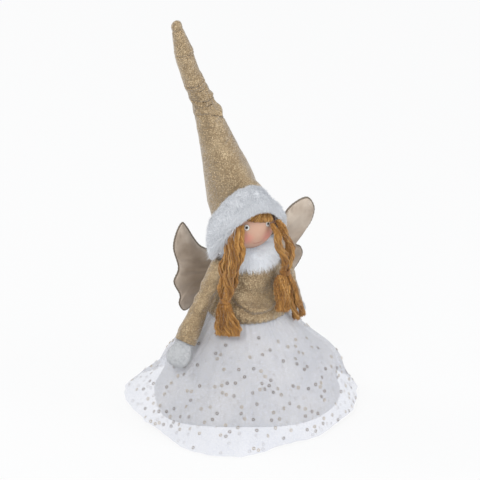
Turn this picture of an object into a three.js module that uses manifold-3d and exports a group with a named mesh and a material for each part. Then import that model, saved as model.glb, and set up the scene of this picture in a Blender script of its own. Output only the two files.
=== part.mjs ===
// Fairy tree topper: a soft doll in a tall leaning hat, sewn on a hollow cone that slips over the top of a tree.
// Millimetres, +Z up. The doll faces -Y, its right side is -X, and z = 0 is what the cone's foot stands on.
import * as THREE from "three";
import { mergeVertices } from "three/addons/utils/BufferGeometryUtils.js";
import Module from "manifold-3d";

const wasm = await Module();
wasm.setup();

// Fits that several pieces share
const seatGap = 0.3;
const cutOverrun = 4;

// Socket cone, plug and dowel
const coneHeight = 96;
const coneFootRadius = 44;
const coneTopRadius = 19;
const coneWall = 1.6;
const footRimWidth = 5;
const footRimHeight = 3;
const plugDepth = 10;
const plugFlange = 3;
const dowelRadius = 4;
const dowelTail = 12;
const dowelInHead = 22;

// Torso, a stuffed bag that sits on the plug
const torsoHeight = 69;
const torsoHalfWidth = 33;
const torsoHalfDepth = 33;
const chestShift = 5;

// Skirts and the band that ties them round the waist
const headingHeight = 6;
const headingLift = 4;
const underskirtCloth = 1.5;
const underskirtHemRadius = 91;
const underskirtHemHeight = 13;
const underskirtBelly = 15;
const underskirtFold = 2.5;
const underskirtCorner = 8;
const underskirtFrontLift = 5;
const tulleCloth = 1.2;
const tulleHemRadius = 110;
const tulleBelly = 11;
const tulleTuck = 7;
const tulleFold = 3.5;
const tulleLeftLift = 14;
const tulleRightLift = 7;
const tulleRipple = 3;
const bellyHeight = 50;
const bellySpread = 20;
const tuckHeight = 36;
const tuckSpread = 14;
const bandCloth = 1.4;

// Bodice and its draped fold, and the fur collar
const bodiceCloth = 1.5;
const drapeDepth = 2.5;
const drapeWidth = 4;
const collarTube = 9;
const collarHalfHeight = 9.5;
const collarRadius = 16;
const collarShift = 3;

// Head and hair
const headRadius = 27;
const hairCapCloth = 1.2;
const fringeThickness = 4;
const hankRadius = 9;
const tieRadius = 6.5;
const tieHalfHeight = 3;
const rightHankLength = 66;
const leftHankLength = 50;
const tasselHalfWidth = 14;
const tasselHalfDepth = 6.5;
const rightTasselLength = 33.5;
const splitTasselHalfWidth = 9.5;
const splitTasselHalfDepth = 5;
const innerTasselLength = 31;
const outerTasselLength = 47.5;
const layGap = 1.8;

// Hat and fur brim
const hatCloth = 1.2;
const hatHeight = 212;
const hatBendRoom = 1.4;
const hatLeanSide = 62;
const hatLeanBack = 28;
const hatTuck = 8;
const hatWrinkle = 2.2;
const brimThickness = 8.5;
const brimHalfHeight = 12;
const brimSideHeight = 13;
const brimBackLift = 71.7;
const brimRise = 61;
const brimRoll = 3;
const brimInnerRadius = 30.7;

// Arms
const shoulderHeight = 53;
const shoulderSpan = 35;
const shoulderRadius = 8.5;
const cuffRadius = 11;
const cuffWall = 1.8;
const sleeveLength = 79;
const cuffRecess = 8;
const wristRadius = 7;
const mittenLength = 33;
const mittenHalfWidth = 12;
const mittenHalfDepth = 8;

// Wings
const wingHeight = 97;
const wingSpan = 75;
const wingLowest = 91;
const wingHalfThickness = 4;
const wingShift = 3;
const wingEdge = 0.6;
const wingBridgeHalfWidth = 7;
const wingBridgeDepth = 7.5;
const wingBridgeRoot = 12;
const pipingRadius = 0.9;

// How finely round forms are divided
const roundSides = 28;
const limbSides = 16;
const hatSides = 20;
const skirtSteps = 50;
const foldCount = 10;
const collarSides = 10;

const degrees = Math.PI / 180;
const quarterTurn = 90 * degrees;
const halfTurn = 180 * degrees;
const up = new THREE.Vector3(0, 0, 1);

// Heights that follow from the pieces below them
const torsoBottom = coneHeight + plugFlange + seatGap;
const waistHeight = torsoBottom + headingLift;
const headHeight = torsoBottom + torsoHeight + seatGap + headRadius;
const shoulderLevel = torsoBottom + shoulderHeight;
const headCentre = new THREE.Vector3(0, 0, headHeight);

// Radii at the waist, from the torso outwards
const underskirtWaist = torsoHalfWidth + seatGap + underskirtCloth;
const tulleWaist = underskirtWaist + seatGap + tulleCloth;
const bandRadius = tulleWaist + seatGap + bandCloth;
const bodiceHemRadius = bandRadius + seatGap + bodiceCloth;

const colours = {
  gold: { color: 0xaa916e, roughness: 0.45, metalness: 0.35 },
  fur: { color: 0xdfe4ea, roughness: 1, metalness: 0 },
  cotton: { color: 0xe6eaee, roughness: 0.9, metalness: 0 },
  tulle: { color: 0xe4e8f4, roughness: 0.7, metalness: 0, transparent: true, opacity: 0.45 },
  skin: { color: 0xd9a78a, roughness: 0.4, metalness: 0 },
  yarn: { color: 0xb07a35, roughness: 0.95, metalness: 0 },
  satin: { color: 0xa59687, roughness: 0.4, metalness: 0.1 },
  cord: { color: 0x6f665c, roughness: 0.6, metalness: 0 },
  card: { color: 0xb9a27e, roughness: 0.9, metalness: 0 },
  wood: { color: 0xc9a570, roughness: 0.7, metalness: 0 },
};

function piece(name, geometry, colour) {
  const mesh = new THREE.Mesh(geometry, new THREE.MeshStandardMaterial(colours[colour]));
  mesh.name = name;
  return mesh;
}

// Joins and cuts
function solidOf(geometry) {
  const bare = geometry.index ? geometry.toNonIndexed() : geometry.clone();
  bare.deleteAttribute("normal");
  bare.deleteAttribute("uv");
  const merged = mergeVertices(bare, 1e-4);
  const vertProperties = new Float32Array(merged.attributes.position.array);
  const triVerts = new Uint32Array(merged.index.array);
  return new wasm.Manifold(new wasm.Mesh({ numProp: 3, vertProperties, triVerts }));
}

function geometryOf(solid) {
  const mesh = solid.getMesh();
  const geometry = new THREE.BufferGeometry();
  geometry.setAttribute("position", new THREE.BufferAttribute(new Float32Array(mesh.vertProperties), 3));
  geometry.setIndex(new THREE.BufferAttribute(new Uint32Array(mesh.triVerts), 1));
  geometry.computeVertexNormals();
  return geometry;
}

function cut(geometry, ...tools) {
  const left = tools.reduce((solid, tool) => solid.subtract(solidOf(tool)), solidOf(geometry));
  return geometryOf(left);
}

function join(geometry, other) {
  return geometryOf(solidOf(geometry).add(solidOf(other)));
}

// A closed skin over rings of points. The rings join up in a loop, or each end closes in a fan.
function skin(rings, looped) {
  const sides = rings[0].length;
  const points = rings.flat();
  const faces = [];
  const spans = looped ? rings.length : rings.length - 1;
  for (let ring = 0; ring < spans; ring++) {
    const start = ring * sides;
    const next = ((ring + 1) % rings.length) * sides;
    for (let side = 0; side < sides; side++) {
      const beside = (side + 1) % sides;
      faces.push(start + side, start + beside, next + beside);
      faces.push(start + side, next + beside, next + side);
    }
  }
  if (!looped) {
    const lastStart = (rings.length - 1) * sides;
    const firstMiddle = points.push(middleOf(rings[0])) - 1;
    const lastMiddle = points.push(middleOf(rings[rings.length - 1])) - 1;
    for (let side = 0; side < sides; side++) {
      const beside = (side + 1) % sides;
      faces.push(firstMiddle, beside, side);
      faces.push(lastMiddle, lastStart + side, lastStart + beside);
    }
  }
  if (volumeOf(points, faces) < 0) faces.reverse();
  const geometry = new THREE.BufferGeometry().setFromPoints(points);
  geometry.setIndex(faces);
  geometry.computeVertexNormals();
  return geometry;
}

function middleOf(ring) {
  const sum = ring.reduce((total, point) => total.add(point), new THREE.Vector3());
  return sum.divideScalar(ring.length);
}

function volumeOf(points, faces) {
  let six = 0;
  for (let i = 0; i < faces.length; i += 3) {
    const [a, b, c] = [points[faces[i]], points[faces[i + 1]], points[faces[i + 2]]];
    six += a.dot(b.clone().cross(c));
  }
  return six / 6;
}

// A revolved solid about the Z axis from [radius, height] points
function revolved(outline, sides = roundSides) {
  const points = outline.map(([radius, height]) => new THREE.Vector2(radius, height));
  return new THREE.LatheGeometry(points, sides).rotateX(quarterTurn);
}

// A band whose closed section changes on its way round the Z axis
function band(steps, sectionAt) {
  const rings = [];
  for (let step = 0; step < steps; step++) {
    const angle = (step / steps) * 2 * Math.PI;
    rings.push(sectionAt(angle).map(([radius, height]) => around(0, radius, angle, height)));
  }
  return skin(rings, true);
}

function around(shift, radius, angle, height) {
  return new THREE.Vector3(shift + radius * Math.cos(angle), radius * Math.sin(angle), height);
}

// An oval section swept along a curve. halfSizes gives [half width, half depth] at each share of the way.
function limb(curve, halfSizes, outward, rings, sides = limbSides) {
  const skins = [];
  for (let ring = 0; ring <= rings; ring++) {
    const share = ring / rings;
    const centre = curve.getPoint(share);
    const along = curve.getTangent(share);
    const wide = along.clone().cross(outward).normalize();
    const deep = wide.clone().cross(along).normalize();
    const [halfWidth, halfDepth] = halfSizes(share);
    skins.push(
      ringOf(sides, (angle) =>
        centre
          .clone()
          .addScaledVector(wide, halfWidth * Math.cos(angle))
          .addScaledVector(deep, halfDepth * Math.sin(angle)),
      ),
    );
  }
  return skin(skins, false);
}

function ringOf(sides, pointAt) {
  return Array.from({ length: sides }, (_, side) => pointAt((side / sides) * 2 * Math.PI));
}

// The value at a share, read smoothly from a table of [share, value, value...] rows
function valueAt(table, share, column = 1) {
  const next = table.findIndex((row) => row[0] >= share);
  if (next <= 0) return table[next < 0 ? table.length - 1 : 0][column];
  const [low, high] = [table[next - 1], table[next]];
  const part = (share - low[0]) / (high[0] - low[0]);
  return low[column] + (high[column] - low[column]) * part;
}

// A level oval ring with its middle shifted along X
function ovalRing(halfWidth, halfDepth, height, shift = 0, sides = roundSides) {
  return ringOf(sides, (angle) =>
    new THREE.Vector3(shift + halfWidth * Math.cos(angle), halfDepth * Math.sin(angle), height),
  );
}

function swell(distance, spread) {
  return Math.exp(-((distance / spread) ** 2));
}

// The shortest way round between two angles, in radians
function turnBetween(angle, other) {
  return Math.atan2(Math.sin(angle - other), Math.cos(angle - other));
}

// Socket cone: rolled card with a turned-out foot, open at the bottom for the tree's top shoot
function socketCone() {
  return revolved([
    [coneFootRadius, 0],
    [coneFootRadius + footRimWidth, 0],
    [coneFootRadius + footRimWidth, footRimHeight],
    [coneFootRadius + coneWall, footRimHeight],
    [coneTopRadius, coneHeight],
    [coneTopRadius - coneWall, coneHeight],
    [coneFootRadius, 0],
  ]);
}

function dowelHole(bottom, top) {
  const hole = new THREE.CylinderGeometry(dowelRadius + seatGap, dowelRadius + seatGap, top - bottom, limbSides);
  return hole.rotateX(quarterTurn).translate(0, 0, (bottom + top) / 2);
}

// Plug: a stepped wooden disc that closes the top of the cone and holds the dowel
function conePlug() {
  const spigotTop = coneTopRadius - coneWall - seatGap;
  const taper = ((coneFootRadius - coneTopRadius) / coneHeight) * plugDepth;
  const bottom = coneHeight - plugDepth;
  const flangeBottom = coneHeight + seatGap;
  const flangeTop = coneHeight + plugFlange;
  const disc = revolved([
    [0, bottom],
    [spigotTop + taper - seatGap, bottom],
    [spigotTop, flangeBottom],
    [coneTopRadius, flangeBottom],
    [coneTopRadius, flangeTop],
    [0, flangeTop],
  ]);
  return cut(disc, dowelHole(bottom - cutOverrun, flangeTop + cutOverrun));
}

function spineDowel() {
  const bottom = coneHeight - dowelTail;
  const top = headHeight - headRadius + dowelInHead;
  const dowel = new THREE.CylinderGeometry(dowelRadius, dowelRadius, top - bottom, limbSides);
  return dowel.rotateX(quarterTurn).translate(0, 0, (bottom + top) / 2);
}

// Torso: share of its height, then shares of its half width, half depth and sideways shift
const torsoShares = [
  [0, 0.8, 0.8, 0],
  [0.03, 0.93, 0.93, 0],
  [0.06, 1, 1, 0],
  [0.16, 0.98, 0.95, 0.1],
  [0.3, 0.93, 0.86, 0.4],
  [0.45, 0.88, 0.77, 0.8],
  [0.6, 0.81, 0.7, 1],
  [0.74, 0.69, 0.58, 0.95],
  [0.84, 0.47, 0.41, 0.7],
  [0.9, 0.31, 0.29, 0.5],
  [0.94, 0.22, 0.22, 0.3],
  [1, 0.2, 0.2, 0],
];

// The torso's outside, or a form that stands off it all round by grow
function torsoForm(grow) {
  const rings = torsoShares.map(([share, wide, deep, aside]) => {
    const height = torsoBottom + torsoHeight * share;
    return ovalRing(torsoHalfWidth * wide + grow, torsoHalfDepth * deep + grow, height, chestShift * aside);
  });
  return skin(rings, false);
}

function torso() {
  return cut(torsoForm(0), dowelHole(torsoBottom - cutOverrun, headHeight));
}

// Skirts: a straight gathered heading under the waistband, then a flare with folds that grow towards the hem
const viewRight = -24 * degrees;
const viewLeft = viewRight + halfTurn;
const viewFront = viewRight - quarterTurn;
const skirtRowShares = [0, 0.06, 0.16, 0.3, 0.46, 0.64, 0.82, 1];

// The tulle falls in on one side below the hand, and then flares out to its hem.
const tuckAngle = 142 * degrees;
const tuckTurnShare = 0.7;

// How fast a hem's own outline, which is full in some places and drawn in at others, fades towards the waist
const reachPower = 4;

function skirtSection(angle, skirt) {
  const bellyTurn = swell(turnBetween(angle, viewRight), skirt.bellyTurnShare);
  const tuckTurn = swell(turnBetween(angle, tuckAngle), tuckTurnShare);
  const outer = [[skirt.waist, waistHeight + headingHeight]];
  for (const share of skirtRowShares) {
    const height = waistHeight + (skirt.hemHeight(angle) - waistHeight) * share;
    const flare = share + skirt.flareShare * share * (1 - share);
    const fold = skirt.fold * share * Math.cos(foldCount * angle);
    const belly = skirt.belly * bellyTurn * swell(height - bellyHeight, bellySpread);
    const tuck = skirt.tuck * tuckTurn * swell(height - tuckHeight, tuckSpread);
    const reach = skirt.hemReach(angle) * share ** reachPower;
    outer.push([skirt.waist + (skirt.hemRadius - skirt.waist) * flare + reach + fold + belly - tuck, height]);
  }
  const inner = outer.map(([radius, height]) => [radius - skirt.cloth, height]).reverse();
  return [...outer, ...inner];
}

// The underskirt's hem is lifted at the front, with a full corner beside it.
const cornerAngle = 196 * degrees;
const cornerTurnShare = 0.3;
const frontTurnShare = 0.5;

const underskirtForm = {
  waist: underskirtWaist,
  cloth: underskirtCloth,
  hemRadius: underskirtHemRadius,
  hemReach: (angle) => underskirtCorner * swell(turnBetween(angle, cornerAngle), cornerTurnShare),
  hemHeight: (angle) =>
    underskirtHemHeight + underskirtFrontLift * swell(turnBetween(angle, viewFront), frontTurnShare),
  fold: underskirtFold,
  belly: underskirtBelly,
  tuck: 0,
  flareShare: 0.2,
  bellyTurnShare: 0.6,
};

const tulleLiftTurnShare = 0.6;
// The tulle's hem, as shares of its radius that it stands out or in at each angle in degrees
const tulleHemShares = [
  [0, 0],
  [30, 0.01],
  [62, -0.03],
  [95, 0],
  [125, 0.015],
  [145, 0.05],
  [158, 0.075],
  [168, 0.06],
  [178, 0.01],
  [205, 0.01],
  [214, 0.035],
  [224, 0.085],
  [233, 0.105],
  [241, 0.09],
  [248, 0.02],
  [258, -0.055],
  [270, -0.1],
  [290, -0.1],
  [309, -0.07],
  [325, -0.05],
  [340, -0.02],
  [360, 0],
];

function tulleHemReach(angle) {
  const turn = (((angle / degrees) % 360) + 360) % 360;
  const at = tulleHemShares.findIndex(([row]) => row > turn);
  const [low, high] = [tulleHemShares[at - 1], tulleHemShares[at]];
  const share = (turn - low[0]) / (high[0] - low[0]);
  return tulleHemRadius * (low[1] + (high[1] - low[1]) * share);
}

const tulleForm = {
  waist: tulleWaist,
  cloth: tulleCloth,
  hemRadius: tulleHemRadius,
  hemReach: tulleHemReach,
  hemHeight: (angle) =>
    tulleLeftLift * swell(turnBetween(angle, viewLeft), tulleLiftTurnShare) +
    tulleRightLift * swell(turnBetween(angle, viewRight), tulleLiftTurnShare) +
    (tulleRipple * (1 - Math.cos(foldCount * angle))) / 2,
  fold: tulleFold,
  belly: tulleBelly,
  tuck: tulleTuck,
  flareShare: 0.15,
  bellyTurnShare: 0.6,
};

function skirt(form) {
  return band(skirtSteps, (angle) => skirtSection(angle, form));
}

// The tulle's outside at a height, without its folds: what the tassels and hands lie on
function tulleReach(height) {
  const share = (waistHeight - height) / waistHeight;
  const flare = share + tulleForm.flareShare * share * (1 - share);
  return tulleWaist + (tulleHemRadius - tulleWaist) * flare + tulleFold * share;
}

function waistband() {
  const bottom = waistHeight + seatGap;
  const top = waistHeight + headingHeight;
  return revolved([
    [bandRadius - bandCloth, bottom],
    [bandRadius, bottom],
    [bandRadius, top],
    [bandRadius - bandCloth, top],
    [bandRadius - bandCloth, bottom],
  ]);
}

// Bodice: share of its height, then shares of the hem radius for half width and half depth, and of the chest shift
const bodiceShares = [
  [0, 1, 1, 0],
  [0.1, 1, 1, 0.05],
  [0.2, 0.965, 0.95, 0.15],
  [0.28, 0.9, 0.85, 0.3],
  [0.45, 0.83, 0.75, 0.7],
  [0.6, 0.775, 0.68, 1],
  [0.74, 0.71, 0.61, 1],
  [0.86, 0.59, 0.51, 0.9],
  [0.93, 0.46, 0.41, 0.7],
  [1, 0.33, 0.31, 0.5],
];
const bodiceRows = 10;
const bodiceTopShare = 0.9;
const drapeLowShare = 0.25;
const drapeClimbShare = 0.3;
const drapeTurnShare = 0.9;
const drapeAngle = -95 * degrees;

function bodicePoint(share, angle, inset) {
  const turn = turnBetween(angle, drapeAngle);
  const drapeShare = drapeLowShare + drapeClimbShare * turn * turn;
  const drapeSpread = drapeWidth / torsoHeight;
  const drape = drapeDepth * swell(share - drapeShare, drapeSpread) * swell(turn, drapeTurnShare);
  const grow = drape - inset;
  const halfWidth = bodiceHemRadius * valueAt(bodiceShares, share, 1) + grow;
  const halfDepth = bodiceHemRadius * valueAt(bodiceShares, share, 2) + grow;
  const shift = chestShift * valueAt(bodiceShares, share, 3);
  const height = waistHeight + (torsoHeight * bodiceTopShare - headingLift) * share;
  return new THREE.Vector3(shift + halfWidth * Math.cos(angle), halfDepth * Math.sin(angle), height);
}

function bodiceRings(inset) {
  const rings = [];
  for (let row = 0; row <= bodiceRows; row++) {
    rings.push(ringOf(roundSides, (angle) => bodicePoint(row / bodiceRows, angle, inset)));
  }
  return rings;
}

function bodice() {
  return skin([...bodiceRings(0), ...bodiceRings(bodiceCloth).reverse()], true);
}

// The bodice's outside with a seat gap all round: what lies on it is cut to this form.
function overBodice() {
  return skin(bodiceRings(-seatGap), false);
}

// How far the bodice reaches from its middle at a height, in one direction
function bodiceReach(height, angle) {
  const share = (height - waistHeight) / (torsoHeight * bodiceTopShare - headingLift);
  const halfWidth = bodiceHemRadius * valueAt(bodiceShares, share, 1) + drapeDepth;
  const halfDepth = bodiceHemRadius * valueAt(bodiceShares, share, 2) + drapeDepth;
  return 1 / Math.hypot(Math.cos(angle) / halfWidth, Math.sin(angle) / halfDepth);
}

// Fur collar: a soft ring that fills the space between the shoulders and the chin
const collarHeight = headHeight - headRadius - collarHalfHeight + seatGap;

function furCollar() {
  const section = new THREE.EllipseCurve(collarRadius, collarHeight, collarTube, collarHalfHeight);
  const points = section.getPoints(collarSides).map((point) => [point.x, point.y]);
  return cut(revolved(points).translate(collarShift, 0, 0), torsoForm(seatGap), overBodice());
}

function ball(radius, centre, sides = roundSides) {
  return new THREE.SphereGeometry(radius, sides, sides / 2).translate(centre.x, centre.y, centre.z);
}

function head() {
  const holeTop = headHeight - headRadius + dowelInHead + seatGap;
  return cut(ball(headRadius, headCentre), dowelHole(headHeight - headRadius - cutOverrun, holeTop));
}

// Hair cap: yarn wound flat over the top and back of the head
const hairCapInner = headRadius + seatGap;
const hairCapOuter = hairCapInner + hairCapCloth;
const hairCapEdge = 8 * degrees;
const hairCapTilt = -34 * degrees;
const arcSteps = 7;

function arcPoints(radius, from, to) {
  const points = [];
  for (let step = 0; step <= arcSteps; step++) {
    const angle = from + ((to - from) * step) / arcSteps;
    const onAxis = Math.abs(angle - quarterTurn) < 1e-9;
    points.push([onAxis ? 0 : radius * Math.cos(angle), radius * Math.sin(angle)]);
  }
  return points;
}

function hairCap() {
  const outer = arcPoints(hairCapOuter, hairCapEdge, quarterTurn);
  const inner = arcPoints(hairCapInner, quarterTurn, hairCapEdge);
  const shell = revolved([...inner, ...outer]);
  return shell.rotateX(hairCapTilt).translate(0, 0, headHeight);
}

// Fringe: a short roll of yarn on the forehead, in front of the hair cap
const fringeTurn = 26 * degrees;
const fringeLow = 16 * degrees;
const fringeHigh = 38 * degrees;

function onHead(reach, turn, rise) {
  const level = reach * Math.cos(rise);
  return new THREE.Vector3(level * Math.sin(turn), -level * Math.cos(turn), headHeight + reach * Math.sin(rise));
}

const fringeEndShare = 0.35;
const fringeTaperShare = 0.04;
const fringeRings = 14;

function hairFringe() {
  const rise = (fringeLow + fringeHigh) / 2;
  const halfHeight = (headRadius * (fringeHigh - fringeLow)) / 2;
  const reach = headRadius + seatGap + fringeThickness / 2;
  const ends = [-fringeTurn, -fringeTurn / 2, 0, fringeTurn / 2, fringeTurn];
  const curve = new THREE.CatmullRomCurve3(ends.map((turn) => onHead(reach, turn, rise)));
  const halfSizes = (share) => {
    const along = fringeTaperShare + (1 - 2 * fringeTaperShare) * share;
    const full = fringeEndShare + (1 - fringeEndShare) * Math.sqrt(Math.sin(Math.PI * along));
    return [halfHeight * full, (fringeThickness / 2) * full];
  };
  const roll = limb(curve, halfSizes, onHead(1, 0, rise).sub(headCentre), fringeRings);
  return cut(roll, ball(hairCapInner, headCentre));
}

// Fur brim: an upright band that runs high over the forehead and low behind the neck
const brimPeakTurn = 10 * degrees;

function brimLevel(angle) {
  const front = (1 - Math.sin(angle + brimPeakTurn)) / 2;
  return torsoBottom + brimBackLift + brimRise * front * front + brimRoll * Math.cos(angle);
}

// The band is pulled down further on the doll's right, so it is deeper there.
function brimHalf(angle) {
  return brimHalfHeight + brimSideHeight * ((1 - Math.cos(angle)) / 2) ** 1.5;
}

function hatBrim() {
  const halfThickness = brimThickness / 2;
  return band(roundSides, (angle) =>
    Array.from({ length: collarSides }, (_, side) => {
      const turn = (side / collarSides) * 2 * Math.PI;
      const radius = brimInnerRadius + halfThickness + halfThickness * Math.cos(turn);
      return [radius, brimLevel(angle) + brimHalf(angle) * Math.sin(turn)];
    }),
  );
}

// Hat: share of its height, then shares of the sideways lean and of the base radius
const hatShares = [
  [0, 0, 1],
  [0.06, 0, 1],
  [0.1, 0.02, 1],
  [0.167, 0.16, 0.9],
  [0.365, 0.39, 0.6],
  [0.55, 0.556, 0.435],
  [0.64, 0.66, 0.375],
  [0.7, 0.745, 0.345],
  [0.75, 0.8, 0.34],
  [0.82, 0.874, 0.31],
  [0.87, 0.915, 0.3],
  [0.93, 0.955, 0.225],
  [0.98, 0.99, 0.15],
  [1, 1, 0.07],
];
const hatSeatShare = 0.375;
const hatBase = torsoBottom + brimBackLift + hatSeatShare * brimRise;
const hatBaseRadius = brimInnerRadius - seatGap;
const hatBend = 0.7;
const hatFadeShare = 0.38;
const hatRowShare = 0.026;
const hollowRowShare = 0.039;
const wadRowShare = 0.078;

function hatCentre(share) {
  const lean = valueAt(hatShares, share, 1);
  return new THREE.Vector3(-hatLeanSide * lean, hatLeanBack * lean, hatBase + hatHeight * share);
}

function hatAxis() {
  return hatCentre(1).sub(hatCentre(hatBend)).normalize();
}

// The hat's cloth is pushed down on itself: two tight rings of creases, and slanting puffs below them.
const creaseShares = [0.7, 0.82];
const creaseSpreadShare = 0.009;
const creaseDepthShare = 0.1;
const puffShares = [0.53, 0.66];
const puffPitchShare = 0.05;

function hatRadius(share, angle) {
  const plain = hatBaseRadius * valueAt(hatShares, share, 2);
  const creases = creaseShares.map((at) => swell(share - at, creaseSpreadShare));
  const crease = creaseDepthShare * plain * Math.max(...creases);
  const middle = (puffShares[0] + puffShares[1]) / 2;
  const puffed = swell(share - middle, (puffShares[1] - puffShares[0]) / 2);
  const side = (1 + Math.cos(turnBetween(angle, viewRight))) / 2;
  const wave = Math.sin(((share - middle) / puffPitchShare) * Math.PI + angle);
  return plain - crease + hatWrinkle * puffed * side * (1 + wave) / 2;
}

function hatRing(share, inset) {
  const centre = hatCentre(Math.max(share, 0));
  const fade = Math.max(0, 1 - share / hatFadeShare);
  const upright = Math.min(1, Math.max(0, share / hatFadeShare));
  const axis = up.clone().lerp(hatAxis(), upright).normalize();
  const side = new THREE.Vector3(0, 1, 0).cross(axis).normalize();
  const back = axis.clone().cross(side).normalize();
  return ringOf(hatSides, (angle) => {
    const radius = hatRadius(Math.max(share, 0), angle) - inset;
    const drop = (brimLevel(angle) - hatBase) * Math.min(1, fade) + Math.min(share, 0) * hatHeight;
    return centre
      .clone()
      .addScaledVector(side, radius * Math.cos(angle))
      .addScaledVector(back, radius * Math.sin(angle))
      .addScaledVector(up, drop);
  });
}

function hatSolid(from, to, inset, step = hatRowShare) {
  const rows = Math.ceil((to - from) / step);
  const rings = [];
  for (let row = 0; row <= rows; row++) rings.push(hatRing(from + ((to - from) * row) / rows, inset));
  return skin(rings, false);
}

const hatBallShare = 0.8;
const hatBallRadius = hatBaseRadius * valueAt(hatShares, hatBend, 2) * hatBallShare;
const hatBendCentre = hatCentre(hatBend);
const hatHollowShare = 0.62;

function hatCone() {
  const shell = hatSolid(-hatTuck / hatHeight, hatBend - hatBendRoom / hatHeight, 0);
  const hollow = hatSolid(-(hatTuck + cutOverrun) / hatHeight, hatHollowShare, hatCloth, hollowRowShare);
  return cut(shell, hollow, ball(hatBallRadius + seatGap, hatBendCentre, limbSides));
}

function hatStuffing() {
  const from = (headRadius / 2) / hatHeight;
  const wad = hatSolid(from, hatHollowShare - hatRowShare, hatCloth + hatWrinkle, wadRowShare);
  return cut(wad, ball(hairCapOuter + 2 * seatGap, headCentre));
}

function hatTip() {
  const cap = hatSolid(hatBend + hatBendRoom / hatHeight, 1, 0);
  return join(cap, ball(hatBallRadius, hatBendCentre, limbSides));
}

// Arms: a sleeve from a round shoulder to a wide cuff, and a mitten whose wrist sits in the cuff
const sleeveShares = [
  [0.15, 0.76],
  [0.4, 0.73],
  [0.7, 0.87],
  [0.94, 1],
  [1, 0.98],
];
const shoulderTurns = [18, 36, 54, 72, 90].map((turn) => turn * degrees);

function sleeve() {
  const cap = shoulderTurns.map((turn) => {
    const radius = shoulderRadius * Math.sin(turn);
    return limbRing(radius, radius, shoulderRadius * Math.cos(turn));
  });
  const tube = sleeveShares.map(([share, size]) => {
    return limbRing(cuffRadius * size, cuffRadius * size, -sleeveLength * share);
  });
  const recessRadius = cuffRadius - cuffWall;
  const recess = new THREE.CylinderGeometry(recessRadius, recessRadius, 2 * cuffRecess, limbSides);
  return cut(skin([...cap, ...tube], false), recess.rotateX(quarterTurn).translate(0, 0, -sleeveLength));
}

function limbRing(halfWidth, halfDepth, height) {
  return ovalRing(halfWidth, halfDepth, height, 0, limbSides);
}

const wristShares = [0, 0.2];
const handShares = [
  [0.34, 0.69, 0.87],
  [0.5, 0.88, 0.97],
  [0.68, 1, 1],
  [0.84, 0.91, 0.91],
  [0.95, 0.66, 0.7],
  [1, 0.28, 0.3],
];

function mitten() {
  const top = -sleeveLength + cuffRecess - seatGap;
  const wrist = wristShares.map((share) => limbRing(wristRadius, wristRadius, top - mittenLength * share));
  const hand = handShares.map(([share, wide, deep]) => {
    return limbRing(mittenHalfWidth * wide, mittenHalfDepth * deep, top - mittenLength * share);
  });
  return skin([...wrist, ...hand], false);
}

// The hand reaches from the shoulder to a point beside the skirt, at an angle round the doll.
const handHeight = 62;
const handStand = 7;
const rightHandAngle = 190 * degrees;
const leftHandAngle = 30 * degrees;

function arm(side, sideSign, handAngle) {
  const shoulder = new THREE.Vector3(chestShift + sideSign * shoulderSpan, 0, shoulderLevel);
  const hand = around(0, tulleReach(handHeight) + mittenHalfDepth + handStand, handAngle, handHeight);
  const group = new THREE.Group();
  group.position.copy(shoulder);
  group.quaternion.setFromUnitVectors(new THREE.Vector3(0, 0, -1), hand.sub(shoulder).normalize());
  group.add(piece("sleeve_" + side, sleeve(), "gold"), piece("mitten_" + side, mitten(), "fur"));
  return group;
}

// Wings: outlines as shares of the span out from the middle and of the height up from the lowest point
const rightWingShares = [
  [0.125, 0.55], [0.27, 0.58], [0.42, 0.65], [0.545, 0.71], [0.635, 0.81], [0.72, 0.93],
  [0.79, 0.985], [0.87, 0.88], [0.91, 0.71], [0.845, 0.49], [0.905, 0.34], [0.825, 0.19],
  [0.835, 0.09], [0.755, 0.01], [0.6, 0.09], [0.37, 0.25], [0.125, 0.36],
];
const leftWingShares = [
  [0.125, 0.55], [0.29, 0.58], [0.5, 0.69], [0.64, 0.87], [0.79, 0.965], [1, 0.995],
  [1.11, 0.87], [1.08, 0.74], [0.97, 0.62], [0.88, 0.52], [0.95, 0.39], [0.83, 0.25],
  [0.82, 0.15], [0.74, 0.085], [0.6, 0.14], [0.36, 0.26], [0.125, 0.36],
];
const rightWingMiddleShares = [0.605, 0.42];
const leftWingMiddleShares = [0.68, 0.45];
const wingSweep = 8 * degrees;
const wingSteps = 44;
const wingRingShares = [0.4, 0.75, 0.93, 1];
const wingDepthShare = 0.72;
const wingPlane = bodiceHemRadius * wingDepthShare + wingHalfThickness;
const wingRoot = wingBridgeHalfWidth + seatGap;

// The outline at the edge of the wing, or drawn in from it by inset, seen from behind the doll
function wingOutline(shares, inset) {
  const places = shares.map(([out, high]) => new THREE.Vector3(out * wingSpan, 0, wingLowest + high * wingHeight));
  const curve = new THREE.CatmullRomCurve3(places, true, "catmullrom", 0.5);
  const points = curve.getSpacedPoints(wingSteps).slice(0, wingSteps);
  return points.map((point, index) => {
    const ahead = points[(index + 1) % wingSteps];
    const behind = points[(index + wingSteps - 1) % wingSteps];
    const along = ahead.clone().sub(behind).normalize();
    return point.clone().add(new THREE.Vector3(-along.z, 0, along.x).multiplyScalar(-inset));
  });
}

function wingPad(shares, middleShares, sideSign) {
  const outline = wingOutline(shares, 2 * pipingRadius + seatGap);
  const middle = new THREE.Vector3(middleShares[0] * wingSpan, 0, wingLowest + middleShares[1] * wingHeight);
  const ringAt = (share, face) =>
    outline.map((point) => {
      const place = middle.clone().lerp(point, share);
      const crown = wingEdge + (wingHalfThickness - wingEdge) * Math.sqrt(1 - share * share);
      return wingPlace(place.x, face * crown, place.z, sideSign);
    });
  const front = wingRingShares.map((share) => ringAt(share, -1));
  const back = wingRingShares.map((share) => ringAt(share, 1)).reverse();
  return skin([...front, ...back], false);
}

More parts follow.
